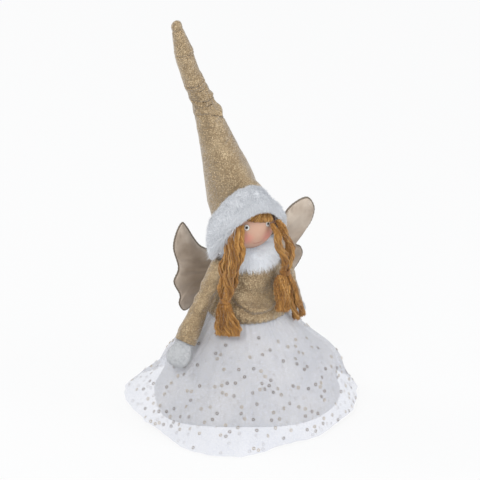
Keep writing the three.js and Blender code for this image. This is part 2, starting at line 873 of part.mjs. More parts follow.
// A place on a wing, measured from the root, round which the wing is swept back
function wingPlace(out, deep, height, sideSign) {
  const reach = out - wingRoot;
  const swept = wingRoot + reach * Math.cos(wingSweep) - deep * Math.sin(wingSweep);
  const back = reach * Math.sin(wingSweep) + deep * Math.cos(wingSweep);
  return new THREE.Vector3(chestShift + wingShift + sideSign * swept, wingPlane + back, height);
}

function wingPiping(shares, sideSign) {
  const outline = wingOutline(shares, pipingRadius);
  const tubeSides = 5;
  const rings = outline.map((point, index) => {
    const ahead = outline[(index + 1) % wingSteps];
    const behind = outline[(index + wingSteps - 1) % wingSteps];
    const along = ahead.clone().sub(behind).normalize();
    return ringOf(tubeSides, (angle) => {
      const aside = pipingRadius * Math.cos(angle);
      return wingPlace(
        point.x - along.z * aside,
        pipingRadius * Math.sin(angle),
        point.z + along.x * aside,
        sideSign,
      );
    });
  });
  return skin(rings, true);
}

function wing(side, shares, middleShares, sideSign) {
  const group = new THREE.Group();
  group.add(
    piece("wing_" + side, wingPad(shares, middleShares, sideSign), "satin"),
    piece("wing_" + side + "_piping", wingPiping(shares, sideSign), "cord"),
  );
  return group;
}

// Wing bridge: the padded strip of cloth that holds both wings to the middle of the back
const bridgeLowShare = 0.34;
const bridgeHighShare = 0.56;
const bridgeRoundShare = 1 / 3;
const bridgeRoundSteps = 4;

function wingBridge() {
  const bottom = wingLowest + bridgeLowShare * wingHeight;
  const top = wingLowest + bridgeHighShare * wingHeight;
  const round = wingBridgeDepth * bridgeRoundShare;
  const back = wingPlane + wingBridgeDepth / 2;
  const front = back - wingBridgeDepth - wingBridgeRoot;
  const half = wingBridgeHalfWidth;
  const outline = new THREE.Shape();
  outline.moveTo(-half, front);
  outline.lineTo(half, front);
  outline.lineTo(half, back - round);
  outline.quadraticCurveTo(half, back, half - round, back);
  outline.lineTo(round - half, back);
  outline.quadraticCurveTo(-half, back, -half, back - round);
  outline.closePath();
  const depth = top - bottom;
  const strip = new THREE.ExtrudeGeometry(outline, { depth, bevelEnabled: false, curveSegments: bridgeRoundSteps });
  return cut(strip.translate(chestShift + wingShift, 0, bottom), overBodice());
}

// Pigtails: each hank comes out beside the cheek, hangs over the shoulder to its tie, and ends in tassels.
const hankShares = [
  [0, 0.5],
  [0.06, 0.62],
  [0.25, 0.92],
  [0.5, 1],
  [0.75, 0.95],
  [0.92, 0.7],
  [1, 0.55],
];
const tasselShares = [
  [0, 0.32],
  [0.12, 0.5],
  [0.4, 0.75],
  [0.8, 1],
  [1, 0.95],
];
const hankRings = 10;
const tasselRings = 7;
const tasselTuckShare = 0.7;
const tasselBulgeShare = 0.15;
const splitAsideShare = 0.36;

function hank(points, outward) {
  const curve = new THREE.CatmullRomCurve3(points);
  const halfSizes = (share) => {
    const half = hankRadius * valueAt(hankShares, share);
    return [half, half];
  };
  return limb(curve, halfSizes, outward, hankRings);
}

// The knot of yarn round the hank, or a form that stands off it all round by grow
function tie(at, grow = 0) {
  const bead = new THREE.SphereGeometry(1, limbSides, limbSides / 2).rotateX(quarterTurn);
  bead.scale(tieRadius + grow, tieRadius + grow, tieHalfHeight + grow);
  return bead.translate(at.x, at.y, at.z);
}

// A bunch of yarn ends below a knot, from its place at the knot to its tip
function tassel(knot, from, to, [halfWidth, halfDepth, outward]) {
  const start = from.clone().addScaledVector(up, -tieHalfHeight * tasselTuckShare);
  const middle = start.clone().lerp(to, 1 / 2).addScaledVector(outward, halfDepth * tasselBulgeShare);
  const curve = new THREE.CatmullRomCurve3([start, middle, to]);
  const halfSizes = (share) => {
    const size = valueAt(tasselShares, share);
    return [halfWidth * size, halfDepth * Math.sqrt(size)];
  };
  return cut(limb(curve, halfSizes, outward, tasselRings), tie(knot, seatGap));
}

// The places that the hair hangs past, at their reach round the doll's middle
const armReach = shoulderSpan + shoulderRadius;
const collarReach = collarRadius + collarTube;
const hankTopReach = headRadius + 2 * seatGap + hankRadius * hankShares[0][1];
const cheekReach = headRadius + seatGap + hankRadius;
const hairTurn = 30 * degrees;
const hairRise = 0;

// Shares of the hank's radius by which it lies off what it hangs over
const overArmShare = 0.3;
const overCollarShare = 1.25;
const rightCheekShare = 0.4;
const leftCheekShare = 0.3;

// Angles round the doll's middle that the pigtails hang at, from the cheek down to the tassel's tip
const rightCheekTurn = -40 * degrees;
const rightCheekRise = -9 * degrees;
const rightMiddleAngle = -135 * degrees;
const rightLowAngle = -139 * degrees;
const rightTieAngle = -143 * degrees;
const rightTipAngle = -133 * degrees;
const rightMiddleShare = 0.5;
const rightLowShare = 0.22;
const leftCheekTurn = 36 * degrees;
const leftCheekRise = -10 * degrees;
const leftTieAngle = -50 * degrees;
const leftInnerAngle = -66 * degrees;
const leftOuterAngle = -37 * degrees;
const leftLowShare = 0.26;

function pigtail(side, top, between, end) {
  const outward = new THREE.Vector3(end.x - chestShift, end.y, 0).normalize();
  const group = new THREE.Group();
  group.add(
    piece("pigtail_" + side, cut(hank([top, ...between, end], outward), tie(end, seatGap)), "yarn"),
    piece("pigtail_" + side + "_tie", tie(end), "yarn"),
  );
  return group;
}

// The right pigtail hangs over the shoulder and sleeve to a single tassel.
function rightPigtail() {
  const top = onHead(hankTopReach, -hairTurn, hairRise);
  const tieHeight = top.z - rightHankLength;
  const overArm = (rise, angle) =>
    around(0, armReach + hankRadius * overArmShare, angle, tieHeight + rise * rightHankLength);
  const between = [
    onHead(cheekReach + hankRadius * rightCheekShare, rightCheekTurn, rightCheekRise),
    overArm(rightMiddleShare, rightMiddleAngle),
    overArm(rightLowShare, rightLowAngle),
  ];
  const end = overArm(0, rightTieAngle);
  const group = pigtail("right", top, between, end);
  const low = tieHeight - rightTasselLength;
  const to = around(0, tulleReach(low) + tasselHalfDepth + layGap, rightTipAngle, low);
  const outward = new THREE.Vector3(end.x, end.y, 0).normalize();
  group.add(piece("tassel_right", tassel(end, end, to, [tasselHalfWidth, tasselHalfDepth, outward]), "yarn"));
  return group;
}

// The left pigtail hangs in front of the collar, and its tassel parts into two bunches.
function leftPigtail() {
  const top = onHead(hankTopReach, hairTurn, hairRise);
  const overCollar = collarReach + hankRadius * overCollarShare;
  const tieHeight = top.z - leftHankLength;
  const between = [
    onHead(cheekReach + hankRadius * leftCheekShare, leftCheekTurn, leftCheekRise),
    around(chestShift, overCollar, leftTieAngle, tieHeight + leftLowShare * leftHankLength),
  ];
  const endReach = bodiceReach(tieHeight, leftTieAngle) + tieRadius + seatGap;
  const end = around(chestShift, endReach, leftTieAngle, tieHeight);
  const group = pigtail("left", top, between, end);
  const outward = new THREE.Vector3(end.x - chestShift, end.y, 0).normalize();
  const aside = outward.clone().cross(up).multiplyScalar(splitTasselHalfWidth * splitAsideShare);
  const innerLow = tieHeight - innerTasselLength;
  const innerReach = bodiceHemRadius + drapeDepth + splitTasselHalfDepth + seatGap;
  const innerTo = around(0, innerReach, leftInnerAngle, innerLow);
  const outerLow = tieHeight - outerTasselLength;
  const outerTo = around(0, tulleReach(outerLow) + splitTasselHalfDepth + layGap, leftOuterAngle, outerLow);
  const halfSizes = [splitTasselHalfWidth, splitTasselHalfDepth, outward];
  group.add(
    piece("tassel_left_inner", tassel(end, end.clone().add(aside), innerTo, halfSizes), "yarn"),
    piece("tassel_left_outer", tassel(end, end.clone().sub(aside), outerTo, halfSizes), "yarn"),
  );
  return group;
}

const root = new THREE.Group();
root.add(
  piece("socket_cone", socketCone(), "card"),
  piece("cone_plug", conePlug(), "wood"),
  piece("spine_dowel", spineDowel(), "wood"),
  piece("torso", torso(), "cotton"),
  piece("underskirt", skirt(underskirtForm), "cotton"),
  piece("tulle_overskirt", skirt(tulleForm), "tulle"),
  piece("waistband", waistband(), "gold"),
  piece("bodice", bodice(), "gold"),
  piece("fur_collar", furCollar(), "fur"),
  piece("head", head(), "skin"),
  piece("hair_cap", hairCap(), "yarn"),
  piece("hair_fringe", hairFringe(), "yarn"),
  piece("hat_brim", hatBrim(), "fur"),
  piece("hat_cone", hatCone(), "gold"),
  piece("hat_stuffing", hatStuffing(), "cotton"),
  piece("hat_tip", hatTip(), "gold"),
  piece("wing_bridge", wingBridge(), "satin"),
  arm("right", -1, rightHandAngle),
  arm("left", 1, leftHandAngle),
  wing("right", rightWingShares, rightWingMiddleShares, -1),
  wing("left", leftWingShares, leftWingMiddleShares, 1),
  rightPigtail(),
  leftPigtail(),
);

export default root;
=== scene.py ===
import math
import random

import bpy
from mathutils import Matrix, Vector, noise


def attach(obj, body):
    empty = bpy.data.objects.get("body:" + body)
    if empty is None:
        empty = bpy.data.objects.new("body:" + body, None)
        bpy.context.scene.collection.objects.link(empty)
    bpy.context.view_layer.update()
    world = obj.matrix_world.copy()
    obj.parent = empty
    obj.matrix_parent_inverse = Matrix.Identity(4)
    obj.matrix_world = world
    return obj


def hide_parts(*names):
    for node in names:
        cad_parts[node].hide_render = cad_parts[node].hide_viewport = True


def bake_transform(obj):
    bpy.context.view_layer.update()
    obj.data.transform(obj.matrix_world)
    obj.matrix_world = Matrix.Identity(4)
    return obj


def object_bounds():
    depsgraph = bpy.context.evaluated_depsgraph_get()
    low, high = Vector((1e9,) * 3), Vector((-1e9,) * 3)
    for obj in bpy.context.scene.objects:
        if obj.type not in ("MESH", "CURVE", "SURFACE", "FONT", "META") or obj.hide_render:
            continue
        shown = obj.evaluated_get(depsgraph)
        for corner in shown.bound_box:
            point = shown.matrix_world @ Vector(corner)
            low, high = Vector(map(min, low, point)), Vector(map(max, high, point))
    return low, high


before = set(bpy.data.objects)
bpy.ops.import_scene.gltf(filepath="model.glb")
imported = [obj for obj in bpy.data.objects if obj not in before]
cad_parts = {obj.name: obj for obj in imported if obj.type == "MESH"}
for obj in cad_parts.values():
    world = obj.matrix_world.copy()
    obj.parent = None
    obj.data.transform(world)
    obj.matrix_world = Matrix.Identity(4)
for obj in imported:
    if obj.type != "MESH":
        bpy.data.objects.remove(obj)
cad_box = [list(corner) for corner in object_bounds()]

# Camera: far off with a long lens, so the doll is drawn almost without perspective. It looks down
# at 25 degrees from the doll's front right, and the picture is 0.46 m wide where the doll stands.
PICTURE_WIDTH = 0.4608
PICTURE_MIDDLE = (-0.0067, 0.1584)
AIM_NEARER = 0.085
CAMERA_DISTANCE = 16.0
CAMERA_CLIP = 60
SENSOR_WIDTH = 36
SIGHT = Vector((0.3686, 0.8279, -0.4226)).normalized()
TO_RIGHT = SIGHT.cross(Vector((0, 0, 1))).normalized()
TO_TOP = TO_RIGHT.cross(SIGHT).normalized()


def stand(name, data, spot, towards):
    """Puts a camera or a lamp in the scene, turned to what it points at."""
    thing = bpy.data.objects.new(name, data)
    bpy.context.collection.objects.link(thing)
    thing.location = spot
    thing.rotation_mode = "QUATERNION"
    thing.rotation_quaternion = towards.to_track_quat("-Z", "Y")
    return thing


lens = bpy.data.cameras.new("camera")
lens.sensor_width = SENSOR_WIDTH
lens.lens = SENSOR_WIDTH * CAMERA_DISTANCE / PICTURE_WIDTH
lens.clip_end = CAMERA_CLIP
aim = TO_RIGHT * PICTURE_MIDDLE[0] + TO_TOP * PICTURE_MIDDLE[1]
aim -= SIGHT * aim.dot(SIGHT) + SIGHT * AIM_NEARER
bpy.context.scene.camera = stand("camera", lens, aim - SIGHT * CAMERA_DISTANCE, SIGHT)

# Studio: a white room with one broad lamp high on the left, a weaker one on the right and a low
# one behind, over a white floor that keeps a faint shadow.
LAMPS_AIM = Vector((0, 0, 0.2))
FLOOR_REACH = 6.0
FLOOR_GAP = 0.0005
FLOOR_GLOW = 0.86
WHITE = (1, 1, 1, 1)


def add(tree, kind, inputs=None, **settings):
    """Adds a shader node. Each input gets a value, or the output of a node that feeds it."""
    node = tree.nodes.new("ShaderNode" + kind)
    for setting, value in settings.items():
        setattr(node, setting, value)
    for socket, value in (inputs or {}).items():
        if isinstance(value, bpy.types.NodeSocket):
            tree.links.new(value, node.inputs[socket])
        else:
            node.inputs[socket].default_value = value
    return node


def seen_by(tree, *kinds):
    """1 for the kinds of ray that are named, and 0 for the others."""
    ray = add(tree, "LightPath")
    seen = ray.outputs[kinds[0]]
    for kind in kinds[1:]:
        seen = add(tree, "Math", {0: seen, 1: ray.outputs[kind]}, operation="MAXIMUM").outputs[0]
    return seen


def studio_lamp(name, spot, size, power, colour):
    lamp = bpy.data.lights.new(name, "AREA")
    lamp.shape = "DISK"
    lamp.size = size
    lamp.energy = power
    lamp.color = colour
    stand(name, lamp, spot, LAMPS_AIM - Vector(spot))


def around(reach, angle, level=0.0):
    """The point at a reach from the upright axis, an angle round it and a level."""
    return Vector((reach * math.cos(angle), reach * math.sin(angle), level))


def circle(count):
    return [2 * math.pi * i / count for i in range(count)]


def new_piece(name, points, faces, finishes, picks=None):
    """A smooth mesh. picks says which of the finishes each face has."""
    mesh = bpy.data.meshes.new(name)
    mesh.from_pydata([tuple(p) for p in points], [], faces)
    for finish in finishes:
        mesh.materials.append(finish)
    if picks:
        mesh.polygons.foreach_set("material_index", picks)
    mesh.polygons.foreach_set("use_smooth", [True] * len(faces))
    mesh.update()
    piece = bpy.data.objects.new(name, mesh)
    bpy.context.collection.objects.link(piece)
    return piece


bpy.context.scene.view_settings.view_transform = "Standard"
room = bpy.data.worlds.new("white room")
bpy.context.scene.world = room
room.use_nodes = True
tree = room.node_tree
tree.nodes.clear()
soft_light = add(tree, "Background", {"Color": (0.93, 0.96, 1, 1), "Strength": 0.62})
white_wall = add(tree, "Background", {"Color": WHITE, "Strength": 1.0})
seen = seen_by(tree, "Is Camera Ray", "Is Transmission Ray", "Is Glossy Ray")
walls = add(tree, "MixShader", {0: seen, 1: soft_light.outputs[0], 2: white_wall.outputs[0]})
add(tree, "OutputWorld", {"Surface": walls.outputs[0]})

studio_lamp("key lamp", (-1.1, -1.2, 1.7), 0.9, 16, (1, 0.985, 0.96))
studio_lamp("fill lamp", (1.4, -1.4, 0.7), 1.3, 12.5, (0.97, 0.98, 1))
studio_lamp("back lamp", (-1.2, 1.4, 1.3), 1.0, 8, (1, 1, 1))

floor_paint = bpy.data.materials.new("white floor")
floor_paint.use_nodes = True
tree = floor_paint.node_tree
tree.nodes.clear()
matt = add(tree, "BsdfDiffuse", {"Color": (0.9, 0.9, 0.9, 1)})
glowing = add(tree, "Emission", {"Color": WHITE, "Strength": 1.0})
seen = seen_by(tree, "Is Camera Ray", "Is Glossy Ray")
dimmed = add(tree, "Math", {0: seen, 1: FLOOR_GLOW}, operation="MULTIPLY")
painted = add(tree, "MixShader", {0: dimmed.outputs[0], 1: matt.outputs[0], 2: glowing.outputs[0]})
add(tree, "OutputMaterial", {"Surface": painted.outputs[0]})
rim = [around(FLOOR_REACH, angle) for angle in circle(64)]
floor = new_piece("floor", rim, [list(range(len(rim)))], [floor_paint])
floor.location.z = cad_box[0][2] - FLOOR_GAP

# Socket cone: a sheet of grey-brown card rolled into a cone with a turned-out foot. It slips over
# the tree's top shoot. The CAD solid has the true shape and only gets its card surface.


def finish_base(name, colour, roughness, extras=None):
    """A material, its shader and the object's own coordinates. extras are more values of the shader."""
    finish = bpy.data.materials.new(name)
    finish.use_nodes = True
    shader = finish.node_tree.nodes["Principled BSDF"]
    for socket, value in {"Base Color": (*colour, 1), "Roughness": roughness, **(extras or {})}.items():
        shader.inputs[socket].default_value = value
    return finish, finish.node_tree, shader, add(finish.node_tree, "TexCoord").outputs["Object"]


def noise_map(tree, place, scale, detail=4.0, roughness=0.55, stretch=(1, 1, 1)):
    """Cloudy noise, drawn out along an axis where stretch is below 1."""
    stretched = add(tree, "Mapping", {"Scale": stretch, "Vector": place}).outputs[0]
    cloud = {"Scale": scale, "Detail": detail, "Roughness": roughness, "Vector": stretched}
    return add(tree, "TexNoise", cloud).outputs["Fac"]


def shades(tree, value, *stops):
    """Colours that follow a value from 0 to 1."""
    ramp = add(tree, "ValToRGB", {"Fac": value})
    while len(ramp.color_ramp.elements) < len(stops):
        ramp.color_ramp.elements.new(0.5)
    for element, (at, colour) in zip(ramp.color_ramp.elements, stops):
        element.position = at
        element.color = (*colour, 1)
    return ramp.outputs["Color"]


def colour_by(tree, shader, value, *stops):
    tree.links.new(shades(tree, value, *stops), shader.inputs["Base Color"])


def roughness_by(tree, shader, value, low, high):
    span = add(tree, "MapRange", {"Value": value, "To Min": low, "To Max": high})
    tree.links.new(span.outputs["Result"], shader.inputs["Roughness"])


def relief(tree, shader, height, depth, strength=1.0, below=None):
    """Bump from a height map. below is a bump that this one lies on."""
    bump = {"Distance": depth, "Strength": strength, "Height": height}
    if below:
        bump["Normal"] = below
    normal = add(tree, "Bump", bump).outputs[0]
    tree.links.new(normal, shader.inputs["Normal"])
    return normal


def cover(node, finish):
    """Gives a CAD solid its surface."""
    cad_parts[node].data.materials.clear()
    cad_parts[node].data.materials.append(finish)


card, tree, shader, place = finish_base("rolled card", (0.42, 0.31, 0.18), 0.85)
fibres = noise_map(tree, place, 260, stretch=(1, 1, 0.25))
colour_by(tree, shader, fibres, (0.3, (0.33, 0.24, 0.14)), (0.7, (0.5, 0.38, 0.23)))
relief(tree, shader, fibres, 0.0003, 0.6)
cover("socket_cone", card)

# Plug and dowel: a turned wooden disc closes the top of the cone, and a round stick glued in it
# runs up through the stuffed body into the head.
wood, tree, shader, place = finish_base("bare wood", (0.5, 0.33, 0.16), 0.6)
grain = noise_map(tree, place, 90, detail=6, stretch=(6, 6, 0.5))
colour_by(tree, shader, grain, (0.35, (0.42, 0.26, 0.12)), (0.65, (0.6, 0.41, 0.21)))
roughness_by(tree, shader, grain, 0.5, 0.7)
relief(tree, shader, grain, 0.0002, 0.5)
cover("cone_plug", wood)
cover("spine_dowel", wood)

# Stuffed body: a bag of white cotton, filled firmly with wadding and closed by two side seams. It
# sits on the wooden disc, and the stick runs up through it. The clothes hide it.
BODY_FOOT = 0.0993
BODY_HEIGHT = 0.069
BODY_HALF = 0.033
BODY_SHIFT = 0.005
BODY_SEAM = 0.0009
BODY_LUMPS = 0.0005
# Each row: share of the height, half width, half depth and shift to the doll's left
BODY_ROWS = [
    [0, 0.8, 0.8, 0], [0.03, 0.93, 0.93, 0], [0.06, 0.985, 0.985, 0], [0.16, 0.965, 0.935, 0.1],
    [0.3, 0.915, 0.845, 0.4], [0.45, 0.865, 0.755, 0.8], [0.6, 0.795, 0.685, 1], [0.74, 0.675, 0.565, 0.95],
    [0.84, 0.455, 0.395, 0.7], [0.9, 0.3, 0.28, 0.5], [0.94, 0.21, 0.21, 0.3], [1, 0.19, 0.19, 0],
]


def table_value(table, share, column=1):
    """Reads a table of [share, value...] rows, with a smooth curve through them."""
    last = len(table) - 1
    if share <= table[0][0]:
        return table[0][column]
    if share >= table[last][0]:
        return table[last][column]
    low = max(i for i in range(last) if table[i][0] <= share)

    def slope(i):
        a, b = max(i - 1, 0), min(i + 1, last)
        return (table[b][column] - table[a][column]) / (table[b][0] - table[a][0])

    span = table[low + 1][0] - table[low][0]
    t = (share - table[low][0]) / span
    start, end = table[low][column], table[low + 1][column]
    return (
        start * (2 * t**3 - 3 * t**2 + 1)
        + end * (3 * t**2 - 2 * t**3)
        + slope(low) * span * (t**3 - 2 * t**2 + t)
        + slope(low + 1) * span * (t**3 - t**2)
    )


def evenly(steps, start=0.0, span=1.0):
    return [start + span * step / steps for step in range(steps + 1)]


def cloth_piece(name, rows, finish, capped=False, turned=False, tip=None):
    """A smooth mesh through closed rows of points. capped closes both ends of it, and a tip only the last."""
    count = len(rows[0])
    points = [p for row in rows for p in row]
    faces = []
    for r in range(len(rows) - 1):
        for i in range(count):
            j = (i + 1) % count
            faces.append((r * count + i, r * count + j, (r + 1) * count + j, (r + 1) * count + i))
    ends = [0] if capped else []
    if capped or tip:
        ends.append((len(rows) - 1) * count)
    for start in ends:
        points.append(tip or sum((Vector(points[start + i]) for i in range(count)), Vector()) / count)
        for i in range(count):
            fan = (len(points) - 1, start + i, start + (i + 1) % count)
            faces.append(fan if start else tuple(reversed(fan)))
    if turned:
        faces = [tuple(reversed(face)) for face in faces]
    return new_piece(name, points, faces, [finish])


def weave(tree, shader, place, pitch, depth, below=None):
    """Two sets of threads that cross, as relief."""
    wave = {"Scale": 0.314 / pitch, "Distortion": 1.2, "Detail": 1.0, "Vector": place}
    threads = [add(tree, "TexWave", wave, bands_direction=axis).outputs["Fac"] for axis in ("X", "Z")]
    both = add(tree, "Math", {0: threads[0], 1: threads[1]}, operation="ADD")
    return relief(tree, shader, both.outputs[0], depth, 0.7, below)


def body_point(angle, share):
    seam = BODY_SEAM * math.exp(-((math.sin(angle) / 0.05) ** 2))
    lump = BODY_LUMPS * noise.noise(around(3, angle, 9 * share))
    wide = BODY_HALF * table_value(BODY_ROWS, share, 1) - seam + lump
    deep = BODY_HALF * table_value(BODY_ROWS, share, 2) - seam + lump
    shift = BODY_SHIFT * table_value(BODY_ROWS, share, 3)
    return (shift + wide * math.cos(angle), deep * math.sin(angle), BODY_FOOT + BODY_HEIGHT * share)


cotton, tree, shader, place = finish_base("white cotton", (0.74, 0.76, 0.79), 0.95, {"Sheen Weight": 0.25})
cloudy = noise_map(tree, place, 38, detail=3)
colour_by(tree, shader, cloudy, (0.3, (0.7, 0.73, 0.77)), (0.7, (0.79, 0.81, 0.84)))
roughness_by(tree, shader, cloudy, 0.85, 1.0)
soft_rise = relief(tree, shader, noise_map(tree, place, 120, detail=5), 0.0006, 0.35)
weave(tree, shader, place, 0.0006, 0.00012, soft_rise)

body_rows = [[body_point(angle, share) for angle in circle(96)] for share in evenly(60)]
body_bag = cloth_piece("body_bag", body_rows, cotton, capped=True)
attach(body_bag, "doll")
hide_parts("torso")

# Underskirt: thick white cotton with a soft nap, cut with a flare and gathered at the waist. Its
# hem is turned under, and it bulges out on the doll's left, where the photograph shows it fullest.
WAIST = 0.1033
HEADING = 0.006
VIEW_RIGHT = math.radians(-24)
VIEW_LEFT = math.radians(156)
VIEW_FRONT = math.radians(246)
LINING_WAIST = 0.0347
LINING_HEM = 0.091
LINING_LEVEL = 0.013
LINING_THICKNESS = 0.0009
# Each soft fold: the angle it runs down at, how far it drifts on the way, and how far it stands out
LINING_FOLDS = [
    (172, 14, 0.0018), (205, -10, 0.0022), (228, 12, -0.0016), (247, -8, 0.0022), (268, 10, -0.0014),
    (288, -12, 0.0024), (314, 8, -0.0018), (20, 10, 0.002), (70, -9, 0.0018), (120, 11, 0.002),
]


def swell(distance, spread):
    """A smooth rise to 1 where the distance is nothing."""
    return math.exp(-((distance / spread) ** 2))


def turn_between(angle, other):
    return math.atan2(math.sin(angle - other), math.cos(angle - other))


def swell_at(angle, other, spread):
    return swell(turn_between(angle, other), spread)


def folds_at(folds, angle, share, breadth):
    """How far all the folds of a skirt stand out at one place."""
    proud = 0.0
    for at, drift, height in folds:
        proud += height * swell_at(angle, math.radians(at + drift * (1 - share)), breadth)
    return proud


def underskirt_point(angle, share):
    hem_level = LINING_LEVEL + 0.005 * swell_at(angle, VIEW_FRONT, 0.5)
    level = WAIST + (hem_level - WAIST) * share
    flare = share + 0.2 * share * (1 - share)
    bulge = 0.015 * swell_at(angle, VIEW_RIGHT, 0.6) * swell(level - 0.05, 0.018)
    corner = 0.008 * swell_at(angle, math.radians(196), 0.3) * share**4
    slow = 0.0012 * share * math.cos(10 * angle) * (1 - 0.6 * share)
    fold = folds_at(LINING_FOLDS, angle, share, 0.1) * math.sin(math.pi * min(1, share * 1.02)) ** 0.8
    pucker = 0.0009 * math.exp(-share / 0.12) * math.cos(38 * angle)
    soft = 0.0018 * share * noise.noise(around(2.2, angle, 4 * share))
    turned = -0.0022 * max(0.0, (share - 0.97) / 0.03) ** 2
    radius = LINING_WAIST + (LINING_HEM - LINING_WAIST) * flare + bulge + corner + slow + fold + pucker
    return around(radius + soft + turned, angle, level)


def skirt_rows(point_at, heading_steps, steps, count):
    """Rows from the heading, which the waistband binds, down to the hem."""
    rows = []
    for step in range(-heading_steps, steps + 1):
        above = Vector((0, 0, HEADING * max(-step, 0) / heading_steps))
        rows.append([point_at(angle, max(step, 0) / steps) + above for angle in circle(count)])
    return rows


def thicken(piece, thickness):
    cloth = piece.modifiers.new("cloth thickness", "SOLIDIFY")
    cloth.thickness = thickness
    cloth.offset = -1


nap_extras = {"Sheen Weight": 0.4, "Sheen Roughness": 0.6}
nap_cotton, tree, shader, place = finish_base("napped white cotton", (0.74, 0.73, 0.69), 1.0, nap_extras)
cloudy = noise_map(tree, place, 30, detail=3)
colour_by(tree, shader, cloudy, (0.3, (0.665, 0.64, 0.58)), (0.7, (0.76, 0.73, 0.665)))
nap = relief(tree, shader, noise_map(tree, place, 700, detail=4, roughness=0.7), 0.0005, 0.5)
relief(tree, shader, noise_map(tree, place, 150, detail=3), 0.0008, 0.4, nap)
underskirt_rows = skirt_rows(underskirt_point, 3, 54, 320)
underskirt = cloth_piece("underskirt_cloth", underskirt_rows, nap_cotton, turned=True)
thicken(underskirt, LINING_THICKNESS)
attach(underskirt, "doll")
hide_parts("underskirt")

# Tulle overskirt: sheer stiff net with a lavender cast, gathered over the underskirt. It stands off
# in crisp folds, and its raw hem lifts where it meets the air on both sides.
TULLE_WAIST = 0.0363
TULLE_REACH = 0.11
TULLE_LEAST_LEVEL = 0.0004
# Each crease: the angle it runs down at, how far it drifts on the way, and how far it stands out
TULLE_CREASES = [
    (8, 14, 0.0016), (33, -10, 0.0014), (58, 9, 0.0018), (81, -12, 0.0014), (104, 8, 0.0018),
    (131, -8, 0.0016), (150, 16, 0.0014), (166, 10, 0.0016), (184, 22, 0.0022), (199, -6, 0.0014),
    (213, 15, 0.0018), (228, -14, 0.0016), (243, 6, 0.0022), (256, -10, 0.0016),
    (271, 12, 0.0014), (290, -9, 0.0016), (306, 7, 0.0012), (322, -12, 0.0014),
    (338, 10, 0.0014), (349, -14, 0.0014),
]
# The hem's outline: how far it stands out past a plain round hem at each angle
TULLE_HEM = [
    [0, 0.001], [30, 0.001], [62, -0.003], [95, 0], [125, 0.0025], [145, 0.006], [158, 0.0095], [168, 0.008],
    [178, 0.001], [192, -0.001], [203, 0.0005], [212, 0.004], [222, 0.009], [232, 0.0125], [240, 0.011],
    [247, 0.004], [256, -0.005], [268, -0.0105], [290, -0.0105], [309, -0.0085], [325, -0.006],
    [340, -0.0035], [360, 0.001],
]


def tulle_point(angle, share):
    turn = math.degrees(angle) % 360
    hem = sum(table_value(TULLE_HEM, (turn + aside) % 360) for aside in (-6, -3, 0, 3, 6)) / 5
    lift = 0.014 * swell_at(angle, VIEW_LEFT, 0.6) + 0.007 * swell_at(angle, VIEW_RIGHT, 0.6)
    wander = noise.noise(around(1.6, angle, 2.5 * share))
    crinkle = noise.noise(around(7, angle, 1.7 + 2 * share))
    ripple = 0.0012 * (0.5 - 0.5 * math.cos(10 * angle)) + 0.0006 * (0.5 + crinkle)
    level = WAIST + (max(lift + ripple, TULLE_LEAST_LEVEL) - WAIST) * share
    flare = share + 0.15 * share * (1 - share)
    bulge = 0.0095 * swell_at(angle, VIEW_RIGHT, 0.6) * swell(level - 0.052, 0.018)
    tuck = 0.007 * swell_at(angle, math.radians(142), 0.7) * swell(level - 0.036, 0.014)
    slow = 0.0015 * share * math.cos(10 * angle + 0.5 * wander) * (1 - 0.5 * share)
    crease = folds_at(TULLE_CREASES, angle, share, 0.022 + 0.02 * share) * share**1.3
    folds = 0.0005 * share * math.sin(23 * angle + 3 * wander) + 0.0009 * share * crinkle
    pucker = 0.0006 * math.exp(-share / 0.1) * math.cos(47 * angle)
    radius = TULLE_WAIST + (TULLE_REACH - TULLE_WAIST) * flare + hem * share**5 + bulge - tuck
    return around(radius + (slow + crease + folds + pucker), angle, level)


net_extras = {"Sheen Weight": 0.3, "Specular IOR Level": 0.3}
net, tree, shader, place = finish_base("lavender white tulle", (0.78, 0.8, 0.9), 0.6, net_extras)
cells = add(tree, "TexVoronoi", {"Scale": 1000, "Vector": place}, feature="DISTANCE_TO_EDGE")
threads = {
    "Value": cells.outputs["Distance"], "From Min": 0.06, "From Max": 0.2, "To Min": 0.72, "To Max": 0.28,
}
tree.links.new(add(tree, "MapRange", threads).outputs["Result"], shader.inputs["Alpha"])
colour_by(tree, shader, noise_map(tree, place, 25), (0.35, (0.68, 0.7, 0.785)), (0.65, (0.78, 0.79, 0.86)))
tulle = cloth_piece("tulle_cloth", skirt_rows(tulle_point, 2, 42, 420), net, turned=True)
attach(tulle, "doll")
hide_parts("tulle_overskirt")

# Ring sequins: stamped foil rings, 3 mm across, glued to the tulle in short loose trails. Most are
# pale gold, and some are dark bronze.
SEQUINS = 600
SEQUIN_OUTER = 0.00152
SEQUIN_HOLE = 0.001
SEQUIN_LIP = 0.00018
SEQUIN_APART = 0.0042
SEQUIN_SIDES = 12
HIGHEST_SHARE, LOWEST_SHARE = 0.05, 0.975
DARK_SHARE, OUTSIDE_SHARE = 0.26, 0.55


def foil(name, colour, roughness, metallic, dark, light):
    finish, tree, shader, place = finish_base(name, colour, roughness, {"Metallic": metallic})
    colour_by(tree, shader, noise_map(tree, place, 60), (0.35, dark), (0.65, light))
    return finish


def sequin_spots(chance):
    """Where the rings lie: each trail wanders on from a random place and keeps off all the others."""
    spots = []
    while len(spots) < SEQUINS:
        angle = chance.uniform(0, 2 * math.pi)
        share = min(HIGHEST_SHARE + 0.93 * chance.uniform(0.01, 1) ** 0.62, LOWEST_SHARE)
        for step in range(chance.randint(1, 4)):
            here = tulle_point(angle, share)
            if all((here - other).length > SEQUIN_APART for _, _, other in spots):
                spots.append((angle, share, here))
            angle += chance.uniform(0.05, 0.1) * chance.choice((-1, 1))
            share = min(max(share + chance.uniform(-0.02, 0.09), HIGHEST_SHARE), LOWEST_SHARE)
    return spots


